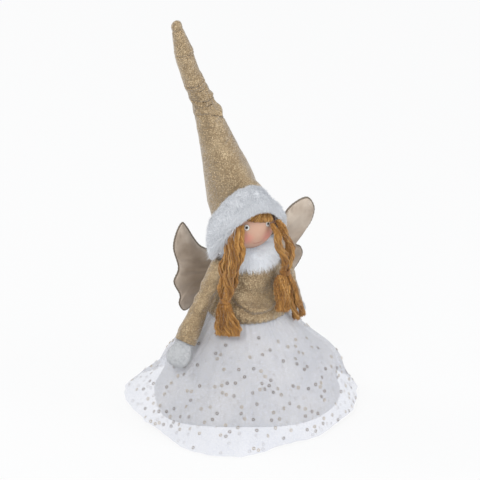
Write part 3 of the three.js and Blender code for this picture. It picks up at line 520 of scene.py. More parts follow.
def ring_sequins():
    chance = random.Random(7)
    points, faces, picks = [], [], []
    halfway = (SEQUIN_OUTER + SEQUIN_HOLE) / 2
    for angle, share, here in sequin_spots(chance):
        across = (tulle_point(angle + 0.01, share) - here).normalized()
        down = (tulle_point(angle, share + 0.01) - here).normalized()
        out = down.cross(across).normalized()
        if out.dot(Vector((here.x, here.y, 0))) < 0:
            out = -out
        across = (across + out * chance.uniform(-0.4, 0.4)).normalized()
        down = out.cross(across).normalized()
        kind = chance.random()
        middle = here + out * (0.0005 if kind < OUTSIDE_SHARE else -0.0012)
        start = len(points)
        for turn in circle(SEQUIN_SIDES):
            spoke = across * math.cos(turn) + down * math.sin(turn)
            points += [
                middle + spoke * SEQUIN_OUTER,
                middle + spoke * halfway + out * SEQUIN_LIP,
                middle + spoke * SEQUIN_HOLE,
                middle + spoke * halfway - out * SEQUIN_LIP / 2,
            ]
        for i in range(SEQUIN_SIDES):
            low, high = start + 4 * i, start + 4 * ((i + 1) % SEQUIN_SIDES)
            for side in range(4):
                beside = (side + 1) % 4
                faces.append((low + side, high + side, high + beside, low + beside))
                picks.append(int(kind < DARK_SHARE))
    return new_piece("ring_sequins", points, faces, [sequin_gold, sequin_dark], picks)


sequin_gold = foil("gold foil", (0.45, 0.35, 0.22), 0.3, 0.8, (0.33, 0.25, 0.15), (0.56, 0.44, 0.29))
sequin_dark = foil("bronze foil", (0.16, 0.1, 0.06), 0.35, 0.7, (0.12, 0.075, 0.045), (0.24, 0.16, 0.1))
sequins = ring_sequins()
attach(sequins, "doll")

# Waistband: a strip of gold lame that binds the gathered heads of both skirts to the stuffed body.
# It is rucked a little all round, and the bodice's hem covers it.
BAND_ROWS = [
    (0.0366, 0.1036), (0.0376, 0.1036), (0.0381, 0.1046), (0.03815, 0.1064), (0.0381, 0.1083),
    (0.0376, 0.1093), (0.0366, 0.1093),
]


def blended(tree, amount, first, second):
    return add(tree, "Mix", {0: amount, 6: first, 7: second}, data_type="RGBA").outputs[2]


def facets(tree, shader, place, size, spread, below):
    """Each grain of the cloth's metal thread leans its own way, so the cloth glitters."""
    grain = add(tree, "TexVoronoi", {"Scale": 1 / size, "Vector": place}).outputs["Color"]
    middle = add(tree, "VectorMath", {0: grain, 1: (0.5, 0.5, 0.5)}, operation="SUBTRACT")
    lean = add(tree, "VectorMath", {0: middle.outputs[0], "Scale": spread}, operation="SCALE")
    total = add(tree, "VectorMath", {0: below, 1: lean.outputs[0]}, operation="ADD")
    facing = add(tree, "VectorMath", {0: total.outputs[0]}, operation="NORMALIZE")
    tree.links.new(facing.outputs[0], shader.inputs["Normal"])
    return grain


def gold_lame(name, dark, plain, bright):
    extras = {"Metallic": 0.72, "Sheen Weight": 0.55, "Sheen Roughness": 0.45}
    finish, tree, shader, place = finish_base(name, plain, 0.4, extras)
    crinkle = relief(tree, shader, noise_map(tree, place, 160, detail=5), 0.0009, 0.3)
    threads = weave(tree, shader, place, 0.0005, 0.00012, crinkle)
    grain = facets(tree, shader, place, 0.0008, 0.75, threads)
    parts = add(tree, "SeparateColor", {0: grain})
    cloud = shades(tree, noise_map(tree, place, 42), (0.1, dark), (0.5, plain), (0.95, bright))
    # Each grain gets a tone from dark to bright. This is partly the thread's own uneven tone and partly
    # painted glints and painted shade, standing in for the light that single grains catch or miss.
    painted_glint_speck = shades(tree, parts.outputs[0], (0.0, dark), (0.6, plain), (0.92, bright))
    tree.links.new(blended(tree, 0.45, cloud, painted_glint_speck), shader.inputs["Base Color"])
    roughness_by(tree, shader, parts.outputs[1], 0.3, 0.62)
    return finish


def band_point(angle, reach, level):
    ruck = 0.00025 * math.sin(34 * angle) + 0.0004 * noise.noise(around(5, angle))
    return around(reach + ruck, angle, level)


lame = gold_lame("gold lame", (0.205, 0.14, 0.075), (0.335, 0.242, 0.138), (0.78, 0.62, 0.4))
band_rows = [[band_point(angle, reach, level) for angle in circle(160)] for reach, level in BAND_ROWS]
waistband = cloth_piece("waistband_strip", band_rows, lame)
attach(waistband, "doll")
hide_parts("waistband")

# Bodice: gold lame cut in two halves, sewn at the sides and blown out by the stuffing. A loose panel
# hangs in a U across the chest, and the hem is turned under over the waistband.
BODICE_HEM = 0.0398
BODICE_HEIGHT = 0.0581
BODICE_THICKNESS = 0.0006
DRAPE_MIDDLE = math.radians(-95)
# Each row: share of the height, half width, half depth and shift to the doll's left
BODICE_ROWS = [
    [0, 1, 1, 0], [0.1, 1, 1, 0.05], [0.2, 0.965, 0.95, 0.15], [0.28, 0.9, 0.85, 0.3],
    [0.45, 0.83, 0.75, 0.7], [0.6, 0.775, 0.68, 1], [0.74, 0.71, 0.61, 1], [0.86, 0.59, 0.51, 0.9],
    [0.93, 0.46, 0.41, 0.7], [1, 0.33, 0.31, 0.5],
]


def bodice_point(angle, share):
    wide = BODICE_HEM * table_value(BODICE_ROWS, share, 1)
    deep = BODICE_HEM * table_value(BODICE_ROWS, share, 2)
    shift = BODY_SHIFT * table_value(BODICE_ROWS, share, 3)
    aside = turn_between(angle, DRAPE_MIDDLE)
    line = 0.25 + 0.3 * aside * aside
    ridge = 0.0042 * swell(share - line, 0.055) * swell(aside, 0.85)
    under = 0.0022 * swell(share - line + 0.11, 0.045) * swell(aside, 0.9)
    hollow = 0.0032 * swell(share - line - 0.17, 0.11) * swell(aside, 0.5)
    slant = noise.noise(Vector((6 * aside + 9 * share, 3 * share - 2 * aside, 4.2)))
    gather = 0.0006 * math.exp(-share / 0.14) * math.sin(41 * angle + 2 * slant)
    roll = -0.0016 * max(0.0, (0.05 - share) / 0.05) ** 2
    seam = 0.0009 * swell(math.sin(angle), 0.03)
    proud = ridge - under - hollow + 0.0007 * slant + gather + roll - seam
    reach = 1 + proud / math.hypot(wide * math.cos(angle), deep * math.sin(angle))
    x, y = shift + wide * reach * math.cos(angle), deep * reach * math.sin(angle)
    return (x, y, WAIST + BODICE_HEIGHT * share)


bodice_rows = [[bodice_point(angle, share) for angle in circle(240)] for share in evenly(90)]
bodice = cloth_piece("bodice_cloth", bodice_rows, lame)
thicken(bodice, BODICE_THICKNESS)
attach(bodice, "doll")
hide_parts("bodice")

# Fur collar: a strip of long white fur sewn round the neck. Its hairs fall forward over the bodice
# and stand up round the chin.
COLLAR_LEVEL = 0.162
COLLAR_RADIUS = 0.016
COLLAR_TUBE = 0.009
COLLAR_HALF = 0.0095
COLLAR_SHIFT = 0.003
COLLAR_HAIRS = 9500
# Blender's vector noise, which gathers the hairs in clumps, is new in each run without a seed
CLUMP_SEED = 5


def fur_finish(name, dark, light, scale, painted_glow):
    # The fur glows a little in a pale blue-white. This is painted light: it stands in for the light that
    # scatters between the hairs and brightens their shade.
    extras = {
        "Sheen Weight": 0.35, "Sheen Roughness": 0.5, "Specular IOR Level": 0.25,
        "Emission Color": (0.9, 0.94, 1, 1), "Emission Strength": painted_glow,
    }
    finish, tree, shader, place = finish_base(name, light, 0.9, extras)
    tuft = noise_map(tree, place, scale, detail=3)
    colour_by(tree, shader, tuft, (0.3, dark), (0.7, light))
    roughness_by(tree, shader, tuft, 0.75, 0.95)
    relief(tree, shader, noise_map(tree, place, 900, detail=3, roughness=0.7), 0.0006, 0.5)
    return finish


def hairs(name, roots, finish, half_width=0.00022, steps=4):
    """Tapered hairs. Each root is (spot, lean, length, droop, aside)."""
    points, faces = [], []
    for spot, lean, length, droop, aside in roots:
        start = len(points)
        across = lean.cross(aside).normalized() * half_width
        here, ahead = spot.copy(), lean.normalized()
        for step in range(steps):
            taper = 1 - 0.85 * (step / steps) ** 1.5
            points += [here - across * taper, here + across * taper]
            here = here + ahead * length / steps
            ahead = (ahead + droop / steps).normalized()
        points.append(here)
        for a in range(start, start + 2 * steps - 2, 2):
            faces.append((a, a + 1, a + 3, a + 2))
        faces.append((start + 2 * steps - 2, start + 2 * steps - 1, start + 2 * steps))
    return new_piece(name, points, faces, [finish])


def loose(chance, amount):
    """A small step to any side."""
    return Vector((chance.uniform(-1, 1), chance.uniform(-1, 1), chance.uniform(-1, 1))) * amount


def collar_point(angle, turn, size=1.0):
    reach = COLLAR_RADIUS + COLLAR_TUBE * size * math.cos(turn)
    level = COLLAR_LEVEL + COLLAR_HALF * size * math.sin(turn)
    return Vector((COLLAR_SHIFT + reach * math.cos(angle), reach * math.sin(angle), level))


def lumpy_collar_point(angle, turn):
    return collar_point(angle, turn, 0.88 + 0.1 * noise.noise(collar_point(angle, turn) * 160))


def collar_root(chance):
    angle = chance.uniform(0, 2 * math.pi)
    turn = math.radians(chance.uniform(-95, 135))
    foot = collar_point(angle, turn, 0.86)
    away = around(math.cos(turn), angle, math.sin(turn))
    clump = noise.noise_vector(foot * 210) * 0.9
    lean = away + Vector((0, 0, -0.35)) + clump + loose(chance, 0.25)
    if turn > 0.9:
        lean += around(1, angle, 0.8)
    length = chance.uniform(0.004, 0.009) * (1.25 if math.sin(turn) < 0 else 0.85)
    return foot, lean, length, Vector((0, 0, -0.9)) + loose(chance, 0.3), away.cross(loose(chance, 1))


# The long fur's glow of 0.1 is painted light that brightens the collar's shade.
long_fur = fur_finish("long white fur", (0.8, 0.815, 0.84), (0.89, 0.9, 0.915), 70, 0.1)
collar_rows = [
    [lumpy_collar_point(angle, math.radians(turn)) for angle in circle(96)] for turn in evenly(24, -100, 200)
]
collar = cloth_piece("collar_backing", collar_rows, long_fur)
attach(collar, "doll")
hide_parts("fur_collar")

noise.seed_set(CLUMP_SEED)
chance = random.Random(11)
collar_hairs = hairs("collar_hairs", [collar_root(chance) for _ in range(COLLAR_HAIRS)], long_fur)
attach(collar_hairs, "doll")

# Head: a hard ball with a smooth peach coat. Its cheeks are sprayed pink, and the eyes and the faint
# mouth are painted on.
HEAD = Vector((0, 0, 0.1956))
HEAD_RADIUS = 0.027
CHEEK_RISE = 0.0005
BLUSH_REACH = 0.0105
EYE_TURN = math.radians(24.5)
EYE_RISE = math.radians(10)
# Each ring of an eye: its size and its paint, from the black pupil out to the brown edge
EYE_RINGS = [(0.0005, 0), (0.0009, 0), (0.00125, 0), (0.002, 1), (0.0027, 1), (0.003, 2)]
EYE_SIDES = 24
EYE_PROUD = 0.00075
MOUTH_THICKNESS = 0.00034


def on_head(reach, turn, rise):
    """The point at a reach from the head's middle, turned to the doll's left and raised."""
    level = reach * math.cos(rise)
    return HEAD + Vector((level * math.sin(turn), -level * math.cos(turn), reach * math.sin(rise)))


def head_point(turn, rise):
    cheeks = swell_at(turn, 0.45, 0.4) + swell_at(turn, -0.45, 0.4)
    return on_head(HEAD_RADIUS + CHEEK_RISE * swell(rise + 0.3, 0.35) * cheeks, turn, rise)


def paint(name, colour, roughness):
    finish, tree, shader, place = finish_base(name, colour, roughness)
    brushed = noise_map(tree, place, 500, detail=3)
    colour_by(tree, shader, brushed, (0.3, tuple(c * 0.75 for c in colour)), (0.7, colour))
    relief(tree, shader, brushed, 0.00008, 0.4)
    return finish


def painted_eye(name, turn, rise):
    """Raised dots of paint: a black pupil, a white ring round it and a thin brown edge."""
    middle = (on_head(1, turn, rise) - HEAD).normalized()
    across = middle.cross(Vector((0, 0, 1))).normalized()
    upward = across.cross(middle)
    points, faces, picks = [HEAD + middle * (HEAD_RADIUS + EYE_PROUD)], [], []
    for number, (size, pick) in enumerate(EYE_RINGS):
        for i, angle in enumerate(circle(EYE_SIDES)):
            spoke = across * math.cos(angle) + upward * math.sin(angle) * 1.08
            facing = (middle + spoke * size / HEAD_RADIUS).normalized()
            points.append(HEAD + facing * (HEAD_RADIUS + 0.0007 - 0.00009 * number))
            j = (i + 1) % EYE_SIDES
            if number == 0:
                faces.append((0, 1 + i, 1 + j))
            else:
                low, high = 1 + EYE_SIDES * (number - 1), 1 + EYE_SIDES * number
                faces.append((low + i, high + i, high + j, low + j))
            picks.append(pick)
    eye = new_piece(name, points, faces, eye_paints, picks)
    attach(eye, "doll")


def strands(name, paths, finishes, sides=7, plies=2, turns_per_metre=170, closed=False):
    """Yarns as tubes with a plied section. Each path is (points, radius, pick)."""
    points, faces, picks = [], [], []
    for line, radius, pick in paths:
        start = len(points)
        travelled = 0.0
        last = len(line) - 1
        normal = None
        for index, spot in enumerate(line):
            along = (line[min(index + 1, last)] - line[max(index - 1, 0)]).normalized()
            if normal is None:
                normal = along.orthogonal().normalized()
            normal = (normal - along * normal.dot(along)).normalized()
            beside = along.cross(normal)
            if index:
                travelled += (spot - line[index - 1]).length
            twist = 2 * math.pi * turns_per_metre * travelled + pick
            ends = 1.0 if closed else min(1.0, 0.55 + 0.45 * min(index, last - index))
            for angle in circle(sides):
                size = radius * ends * (1 + 0.2 * math.cos(plies * (angle - twist)))
                points.append(spot + (normal * math.cos(angle) + beside * math.sin(angle)) * size)
        for low in range(start, start + last * sides, sides):
            for side in range(sides):
                beyond = (side + 1) % sides
                faces.append((low + side, low + beyond, low + sides + beyond, low + sides + side))
        faces.append(tuple(reversed(range(start, start + sides))))
        faces.append(tuple(range(start + last * sides, start + (last + 1) * sides)))
        picks += [pick % len(finishes)] * (last * sides + 2)
    return new_piece(name, points, faces, finishes, picks)


skin_extras = {"Subsurface Weight": 0.12, "Subsurface Radius": (0.004, 0.0015, 0.001)}
skin, tree, shader, place = finish_base("peach coat", (0.7, 0.4, 0.26), 0.5, skin_extras)
mottled = shades(tree, noise_map(tree, place, 45), (0.3, (0.6, 0.36, 0.255)), (0.7, (0.68, 0.43, 0.315)))
pink = add(tree, "RGB").outputs[0]
pink.default_value = (0.87, 0.35, 0.28, 1)
for turn, rise in ((-26, -16), (26, -18)):
    cheek = on_head(HEAD_RADIUS, math.radians(turn), math.radians(rise))
    distance = add(tree, "VectorMath", {0: place, 1: cheek}, operation="DISTANCE").outputs["Value"]
    blush = {"Value": distance, "From Min": 0.001, "From Max": BLUSH_REACH, "To Min": 0.74, "To Max": 0.0}
    amount = add(tree, "MapRange", blush, interpolation_type="SMOOTHSTEP").outputs["Result"]
    mottled = blended(tree, amount, mottled, pink)
tree.links.new(mottled, shader.inputs["Base Color"])
roughness_by(tree, shader, noise_map(tree, place, 90), 0.4, 0.6)
relief(tree, shader, noise_map(tree, place, 700, detail=3), 0.0001, 0.3)

head_rises = [math.radians(rise) for rise in evenly(48, -90, 180)[1:-1]]
head_rows = [[head_point(turn, rise) for turn in circle(96)] for rise in head_rises]
head = cloth_piece("head_ball", head_rows, skin, capped=True)
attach(head, "doll")
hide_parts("head")

eye_paints = [
    paint("black eye paint", (0.012, 0.01, 0.01), 0.25),
    paint("white eye paint", (0.86, 0.86, 0.84), 0.35),
    paint("brown line paint", (0.42, 0.22, 0.15), 0.45),
]
painted_eye("eye_right", -EYE_TURN, EYE_RISE)
painted_eye("eye_left", EYE_TURN, EYE_RISE)

mouth_line = [
    on_head(HEAD_RADIUS + 0.0001, math.radians(turn), math.radians(-31 + 0.016 * turn * turn))
    for turn in range(-12, 13, 2)
]
mouth_paint = paint("faint red paint", (0.52, 0.16, 0.12), 0.5)
mouth = strands("mouth_line", [(mouth_line, MOUTH_THICKNESS, 0)], [mouth_paint], plies=1)
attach(mouth, "doll")

# Hair cap and fringe: ginger yarn laid from the crown over the back of the head and glued down. Short
# ends come out over the forehead, swept to the doll's right from a parting on its left.
CAP_YARNS = 96
CAP_TILT = Matrix.Rotation(math.radians(-34), 3, "X")
CAP_YARN_RADIUS = 0.0009
FRINGE_YARNS = 170
FRINGE_YARN = (0.0004, 0.00062)


def yarn_finish(name, dark, plain, light):
    extras = {"Sheen Weight": 0.3, "Specular IOR Level": 0.35}
    finish, tree, shader, place = finish_base(name, plain, 0.8, extras)
    fibre = noise_map(tree, place, 520, detail=4, roughness=0.7, stretch=(1, 1, 0.3))
    lock = noise_map(tree, place, 130, detail=2, stretch=(1, 1, 0.35))
    fibre_shade = shades(tree, fibre, (0.3, dark), (0.52, plain), (0.75, light))
    lock_shade = shades(tree, lock, (0.35, dark), (0.65, light))
    tree.links.new(blended(tree, 0.55, fibre_shade, lock_shade), shader.inputs["Base Color"])
    roughness_by(tree, shader, fibre, 0.6, 0.95)
    relief(tree, shader, fibre, 0.0005, 0.6)
    return finish


def cap_spot(k, polar):
    sway = 0.03 * math.sin(5 * polar + k)
    facing = around(math.sin(polar), 2 * math.pi * k / CAP_YARNS + sway, math.cos(polar))
    return HEAD + CAP_TILT @ facing * (HEAD_RADIUS + 0.0008 + 0.0002 * (k % 3))


def fringe_yarn(chance, k):
    """One yarn of the fringe, from the parting to its cut end. Both lie a little off their places."""
    t = -1 + 2.25 * (k + chance.random()) / FRINGE_YARNS
    parting = math.radians(25 + 7 * t + chance.uniform(-3, 3))
    top = math.radians(38 - 3 * t + chance.uniform(-2, 2))
    end_turn = math.radians(2 + 25 * t + chance.uniform(-2.5, 2.5))
    end_rise = math.radians(19.5 - 5 * t + chance.uniform(-1.8, 1.8))
    thick = chance.uniform(0.0008, 0.003)
    line = []
    for share in evenly(14):
        turn = parting + (end_turn - parting) * share**0.8 + 0.015 * math.sin(7 * share + 2 * k)
        rise = top + (end_rise - top) * (0.3 * share + 0.7 * share * share)
        off = (thick + 0.0003 * math.sin(9 * share + k)) * min(1.0, 0.25 + share / 0.4)
        line.append(on_head(HEAD_RADIUS + off + 0.0012 * math.sin(math.pi * share) * share, turn, rise))
    return line, chance.uniform(*FRINGE_YARN), k % 3


yarns = [
    yarn_finish("ginger yarn", (0.24, 0.1, 0.018), (0.44, 0.205, 0.042), (0.68, 0.37, 0.1)),
    yarn_finish("dark ginger yarn", (0.14, 0.056, 0.011), (0.31, 0.135, 0.028), (0.48, 0.225, 0.052)),
    yarn_finish("light ginger yarn", (0.35, 0.16, 0.035), (0.58, 0.3, 0.085), (0.84, 0.53, 0.19)),
]
cap_lines = [[cap_spot(k, math.radians(polar)) for polar in evenly(12, 5, 77)] for k in range(CAP_YARNS)]
cap_paths = [(line, CAP_YARN_RADIUS, k % 3) for k, line in enumerate(cap_lines)]
hair_cap = strands("hair_cap_yarn", cap_paths, yarns, sides=5)
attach(hair_cap, "doll")
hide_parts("hair_cap")

chance = random.Random(23)
fringe = strands("fringe_yarn", [fringe_yarn(chance, k) for k in range(FRINGE_YARNS)], yarns, sides=5)
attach(fringe, "doll")
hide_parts("hair_fringe")

# Hat brim: a wide band of short white fur, sewn to the hat's edge and turned up. It runs high over
# the forehead and low behind the neck, and a loose tuft hangs from its low end.
BRIM_INNER = 0.0307
BRIM_HALF_THICKNESS = 0.00425
BRIM_LOWEST = 0.171
BRIM_CLIMB = 0.061
BRIM_HAIRS = 20000
TUFT_HAIRS = 900


def brim_lift(angle):
    return 0.0021 * swell_at(angle, math.radians(-82), 0.85)


def brim_level(angle):
    front = (1 - math.sin(angle + math.radians(10))) / 2
    low_side = 0.0015 * swell_at(angle, VIEW_LEFT, 0.8)
    return BRIM_LOWEST + BRIM_CLIMB * front * front + 0.003 * math.cos(angle) + brim_lift(angle) - low_side


def brim_half(angle):
    narrow = 0.0015 * swell_at(angle, VIEW_LEFT, 0.8) + 0.001 * swell_at(angle, VIEW_RIGHT, 0.8)
    return 0.012 + 0.013 * ((1 - math.cos(angle)) / 2) ** 1.5 - brim_lift(angle) - narrow


def brim_point(angle, turn, size=1.0):
    thin = BRIM_HALF_THICKNESS * (1 - 0.4 * swell_at(angle, VIEW_RIGHT, 0.9))
    thin -= 0.0011 * swell_at(angle, math.radians(170), 0.9)
    high = swell_at(angle, math.radians(-44), 0.85) * max(0.0, math.sin(turn)) ** 1.3
    reach = BRIM_INNER + thin * (1 + size * math.cos(turn)) - 0.0108 * high
    return around(reach, angle, brim_level(angle) + brim_half(angle) * size * math.sin(turn) - 0.0083 * high)


def lumpy_brim_point(angle, turn):
    return brim_point(angle, turn, 0.84 + 0.05 * noise.noise(brim_point(angle, turn) * 120))


def brim_root(chance):
    angle = chance.uniform(0, 2 * math.pi)
    turn = math.radians(chance.uniform(-100, 115))
    foot = brim_point(angle, turn, 0.8)
    away = (around(1, angle) * math.cos(turn) + Vector((0, 0, math.sin(turn)))).normalized()
    clump = noise.noise_vector(foot * 150) * 0.35
    lean = away * 0.6 + Vector((0, 0, -0.1 + 0.3 * math.sin(turn))) + clump + loose(chance, 0.25)
    length = chance.uniform(0.0028, 0.0046)
    return foot, lean, length, Vector((0, 0, -0.3)) + loose(chance, 0.3), away.cross(loose(chance, 1))


def tuft_root(chance):
    angle = math.radians(chance.gauss(203, 9))
    foot = brim_point(angle, math.radians(chance.uniform(-100, -45)), 0.9)
    lean = around(1, angle) * 0.8 + Vector((-0.1, -0.15, -0.5)) + loose(chance, 0.45)
    length = chance.uniform(0.007, 0.0145)
    return foot, lean, length, Vector((0, 0, -0.5)) + loose(chance, 0.4), loose(chance, 1)


# The short fur's glow of 0.06 is painted light that brightens the brim's shade.
short_fur = fur_finish("short white fur", (0.69, 0.7, 0.72), (0.77, 0.78, 0.8), 55, 0.06)
brim_rows = [[lumpy_brim_point(angle, turn) for angle in circle(180)] for turn in circle(20)]
brim_rows.append(brim_rows[0])
brim = cloth_piece("brim_backing", brim_rows, short_fur)
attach(brim, "doll")
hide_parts("hat_brim")

chance = random.Random(31)
brim_roots = [brim_root(chance) for _ in range(BRIM_HAIRS)]
brim_roots += [tuft_root(chance) for _ in range(TUFT_HAIRS)]
brim_hairs = hairs("brim_hairs", brim_roots, short_fur, half_width=0.00024)
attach(brim_hairs, "doll")

# Hat: a tall cone of gold lame, sewn up the back and stuffed loosely. It leans over and is pushed
# down on itself, so the cloth lies in slanting puffs and two tight rings of creases below the tip.
HAT_BASE = 0.193875
HAT_HEIGHT = 0.212
HAT_RADIUS = 0.0304
HAT_LEAN = (-0.062, 0.028)
HAT_UPRIGHT_SHARE = 0.38
HAT_SIDES = 200
HAT_OFF_HEAD = 0.003
HAT_DOME = 0.0004
# Each row: share of the height, share of the lean and share of the radius
HAT_ROWS = [
    [0, 0, 1], [0.06, 0, 1], [0.1, 0.02, 1], [0.167, 0.16, 0.9], [0.36, 0.38, 0.608], [0.447, 0.467, 0.51],
    [0.498, 0.513, 0.459], [0.55, 0.568, 0.402], [0.6, 0.626, 0.36], [0.64, 0.672, 0.345],
    [0.682, 0.724, 0.342], [0.733, 0.793, 0.306], [0.774, 0.832, 0.303], [0.818, 0.875, 0.303],
    [0.855, 0.893, 0.297], [0.906, 0.94, 0.235], [0.957, 0.98, 0.176], [0.98, 0.993, 0.171], [1, 1, 0.17],
]
# Each fold of the cloth: share of the height on the right, rise to the back, tilt to the left, breadth,
# height, spread, and the side that it is deepest on, in degrees round from the right
HAT_FOLDS = [
    [0.853, 0, 0, 0.007, 0.0006, 3.5, -60], [0.842, 0, 0, 0.0034, -0.0021, 2.6, -50],
    [0.833, 0, 0, 0.004, 0.0005, 3.0, -60], [0.826, 0, 0, 0.003, -0.0009, 1.6, -60],
    [0.722, 0.013, -0.006, 0.009, 0.0013, 1.5, -30], [0.71, 0.013, -0.006, 0.004, -0.003, 2.4, -55],
    [0.7, 0.013, -0.006, 0.005, 0.001, 1.9, -60], [0.678, 0.013, 0, 0.0034, -0.002, 0.7, -50],
    [0.631, 0, 0, 0.007, 0.0027, 0.62, -15], [0.6166, 0, 0, 0.005, -0.0036, 0.7, -42],
    [0.592, 0, 0, 0.004, -0.0021, 0.7, -40], [0.55, 0.02, 0, 0.018, 0.0034, 0.7, -10],
    [0.566, 0.045, 0, 0.006, 0.0022, 0.5, -38], [0.509, -0.044, 0, 0.0055, -0.0032, 0.7, -25],
    [0.575, 0.02, 0, 0.005, -0.0011, 0.5, -110], [0.54, -0.03, 0, 0.004, 0.0008, 0.4, -95],
    [0.515, 0.02, 0, 0.004, -0.0009, 0.4, -100], [0.43, 0.03, 0, 0.008, -0.0009, 0.6, -40],
    [0.33, 0.06, 0, 0.014, -0.0008, 0.8, -30], [0.64, 0.02, 0, 0.004, -0.0009, 0.5, -120],
    [0.67, -0.02, 0, 0.005, 0.0008, 0.5, -115],
]


def line_value(table, share, column):
    """The value at a share, read along straight lines between the rows of a table."""
    if share <= table[0][0]:
        return table[0][column]
    for low, high in zip(table, table[1:]):
        if share <= high[0]:
            part = (share - low[0]) / (high[0] - low[0])
            return low[column] + (high[column] - low[column]) * part
    return table[-1][column]


def eased(table, share, column):
    """The same value, rounded off at the rows."""
    return sum(line_value(table, share + 0.022 * k / 4, column) for k in (-4, -2, -1, 0, 1, 2, 4)) / 7


def hat_centre(share):
    lean = eased(HAT_ROWS, share, 1)
    return Vector((HAT_LEAN[0] * lean, HAT_LEAN[1] * lean, HAT_BASE + HAT_HEIGHT * share))


def on_fold(fold, share, aside, above=0.0, wider=1.0):
    """How near a place is to a fold, from 0 to 1. above and wider count in breadths of the fold."""
    at, climb, tilt, breadth, _, spread, towards = fold
    line = at + climb * math.sin(aside) + tilt * (1 - math.cos(aside)) / 2 + above * breadth
    return swell(share - line, wider * breadth) * swell_at(aside, math.radians(towards), spread)


def hat_radius(share, angle):
    aside = turn_between(angle, VIEW_RIGHT)
    radius = HAT_RADIUS * eased(HAT_ROWS, share, 2)
    radius += sum(fold[4] * on_fold(fold, share, aside) for fold in HAT_FOLDS)
    rumple = noise.noise(around(2.2, angle, 26 * share))
    fine = noise.noise(around(5, angle, 60 * share))
    crowded = swell(share - 0.6, 0.1)
    radius += rumple * (0.0003 + 0.0006 * crowded) + fine * (0.00012 + 0.0005 * crowded)
    seam = 0.0007 * swell_at(angle, math.radians(90), 0.035)
    tip_seam = 0.0005 * swell(share - 0.955, 0.004)
    dome = math.sqrt(max(0.02, 1 - max(0.0, (share - 0.9735) / 0.0245) ** 2))
    slim = 0.17 * swell_at(aside, math.radians(-16), 0.9) * swell(share - 0.15, 0.15)
    full = 0.07 * swell_at(aside, math.radians(190), 0.7) * swell(share - 0.09, 0.06)
    foot = 0.22 * swell_at(aside, math.radians(-24), 0.9) * swell(share - 0.1, 0.08)
    return radius * dome * (1 - slim - foot + full) - seam - tip_seam


def hat_overhang(share, angle):
    """How far the cloth above each deep crease slides down over it."""
    aside = turn_between(angle, VIEW_RIGHT)
    deep = [fold for fold in HAT_FOLDS if fold[4] < -0.0013]
    return sum(-0.9 * fold[4] * on_fold(fold, share, aside, above=1.7, wider=1.5) for fold in deep)


def off_head(spot, reach):
    """The spot, moved out where it is nearer to the head's middle than the reach."""
    from_head = spot - HEAD
    return HEAD + from_head.normalized() * reach if from_head.length < reach else spot


def hat_point(share, angle):
    upright = min(1.0, max(0.0, share / HAT_UPRIGHT_SHARE))
    axis = Vector((0, 0, 1)).lerp(HAT_AXIS, upright).normalized()
    side = Vector((0, 1, 0)).cross(axis).normalized()
    back = axis.cross(side).normalized()
    radius = hat_radius(max(share, 0), angle)
    drop = (brim_level(angle) - HAT_BASE) * (1 - upright) + min(share, 0) * HAT_HEIGHT
    spot = hat_centre(max(share, 0)) + side * radius * math.cos(angle) + back * radius * math.sin(angle)
    spot += Vector((0, 0, drop)) - HAT_AXIS * hat_overhang(share, angle)
    return off_head(spot, HEAD_RADIUS + HAT_OFF_HEAD)


HAT_AXIS = (hat_centre(1) - hat_centre(0.7)).normalized()
hat_rows = [[hat_point(share, angle) for angle in circle(HAT_SIDES)] for share in evenly(460, -0.037, 1.0345)]
top_ring = hat_rows[-1]
top_middle = sum(top_ring, Vector()) / len(top_ring)
for shrink, rise in ((0.72, 0.0002), (0.38, 0.0003)):
    hat_rows.append([top_middle + (p - top_middle) * shrink + HAT_AXIS * rise for p in top_ring])
hat = cloth_piece("hat_cloth", hat_rows, lame, tip=top_middle + HAT_AXIS * HAT_DOME)
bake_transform(hat)
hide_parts("hat_cone", "hat_tip")

# Hat wad: a loose lump of white wadding that keeps the lower hat open. The cloth hides it. It lies
# on the head, and its upper end is rounded off.
WAD_FOOT_SHARE, WAD_SHARE = 0.155, 0.445
WAD_MIDDLE_SHARE, WAD_ROUND_SHARE = 0.3775, 0.46
WAD_OFF_HEAD = 0.0032
WAD_SLACK = 0.9


def wad_row(share):
    rounded = math.sqrt(max(0.02, 1 - (2 * (share - WAD_MIDDLE_SHARE) / WAD_ROUND_SHARE) ** 2))
    middle = sum((hat_point(share, angle) for angle in circle(24)), Vector()) / 24
    row = []
    for angle in circle(72):
        spot = hat_point(share, angle)
        lump = (0.9 + 0.06 * noise.noise(spot * 130)) * (0.35 + 0.65 * rounded) * WAD_SLACK
        row.append(off_head(middle + (spot - middle) * lump, HEAD_RADIUS + WAD_OFF_HEAD))
    return row


wadding, tree, shader, place = finish_base("white wadding", (0.8, 0.81, 0.83), 1.0, {"Sheen Weight": 0.4})
wisps = noise_map(tree, place, 180, detail=6, roughness=0.7)
colour_by(tree, shader, wisps, (0.3, (0.68, 0.7, 0.73)), (0.7, (0.84, 0.85, 0.87)))
relief(tree, shader, wisps, 0.002, 0.7)
wad_rows = [wad_row(share) for share in evenly(47, WAD_FOOT_SHARE, WAD_SHARE)]
wad = cloth_piece("hat_wad", wad_rows, wadding, capped=True)
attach(wad, "doll")
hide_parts("hat_stuffing")

# Arms: stuffed tubes of gold lame, sewn on at the shoulders. The cuff is turned in, and the end of
# each arm is a mitten of short white fur cloth, pushed into the cuff and sewn there.
SHOULDER_MIDDLE = 0.005
SHOULDER_HALF = 0.035
SHOULDER_LEVEL = 0.1523
HAND_REACH = 0.0848
HAND_LEVEL = 0.062
NEARER = Vector((-0.003, -0.0022, 0))
SLEEVE = 0.079
SLEEVE_RADIUS = 0.011
SLEEVE_TOP_SHARE = 0.108
CUFF_FOLD = ((1.004, 0.9), (0.995, 0.83), (0.93, 0.82), (0.9, 0.81))
MITTEN_TOP = SLEEVE - 0.0077
MITTEN = 0.033
MITTEN_HALF_WIDTH = 0.012
MITTEN_HALF_DEPTH = 0.008
MITTEN_HAIRS = 2600
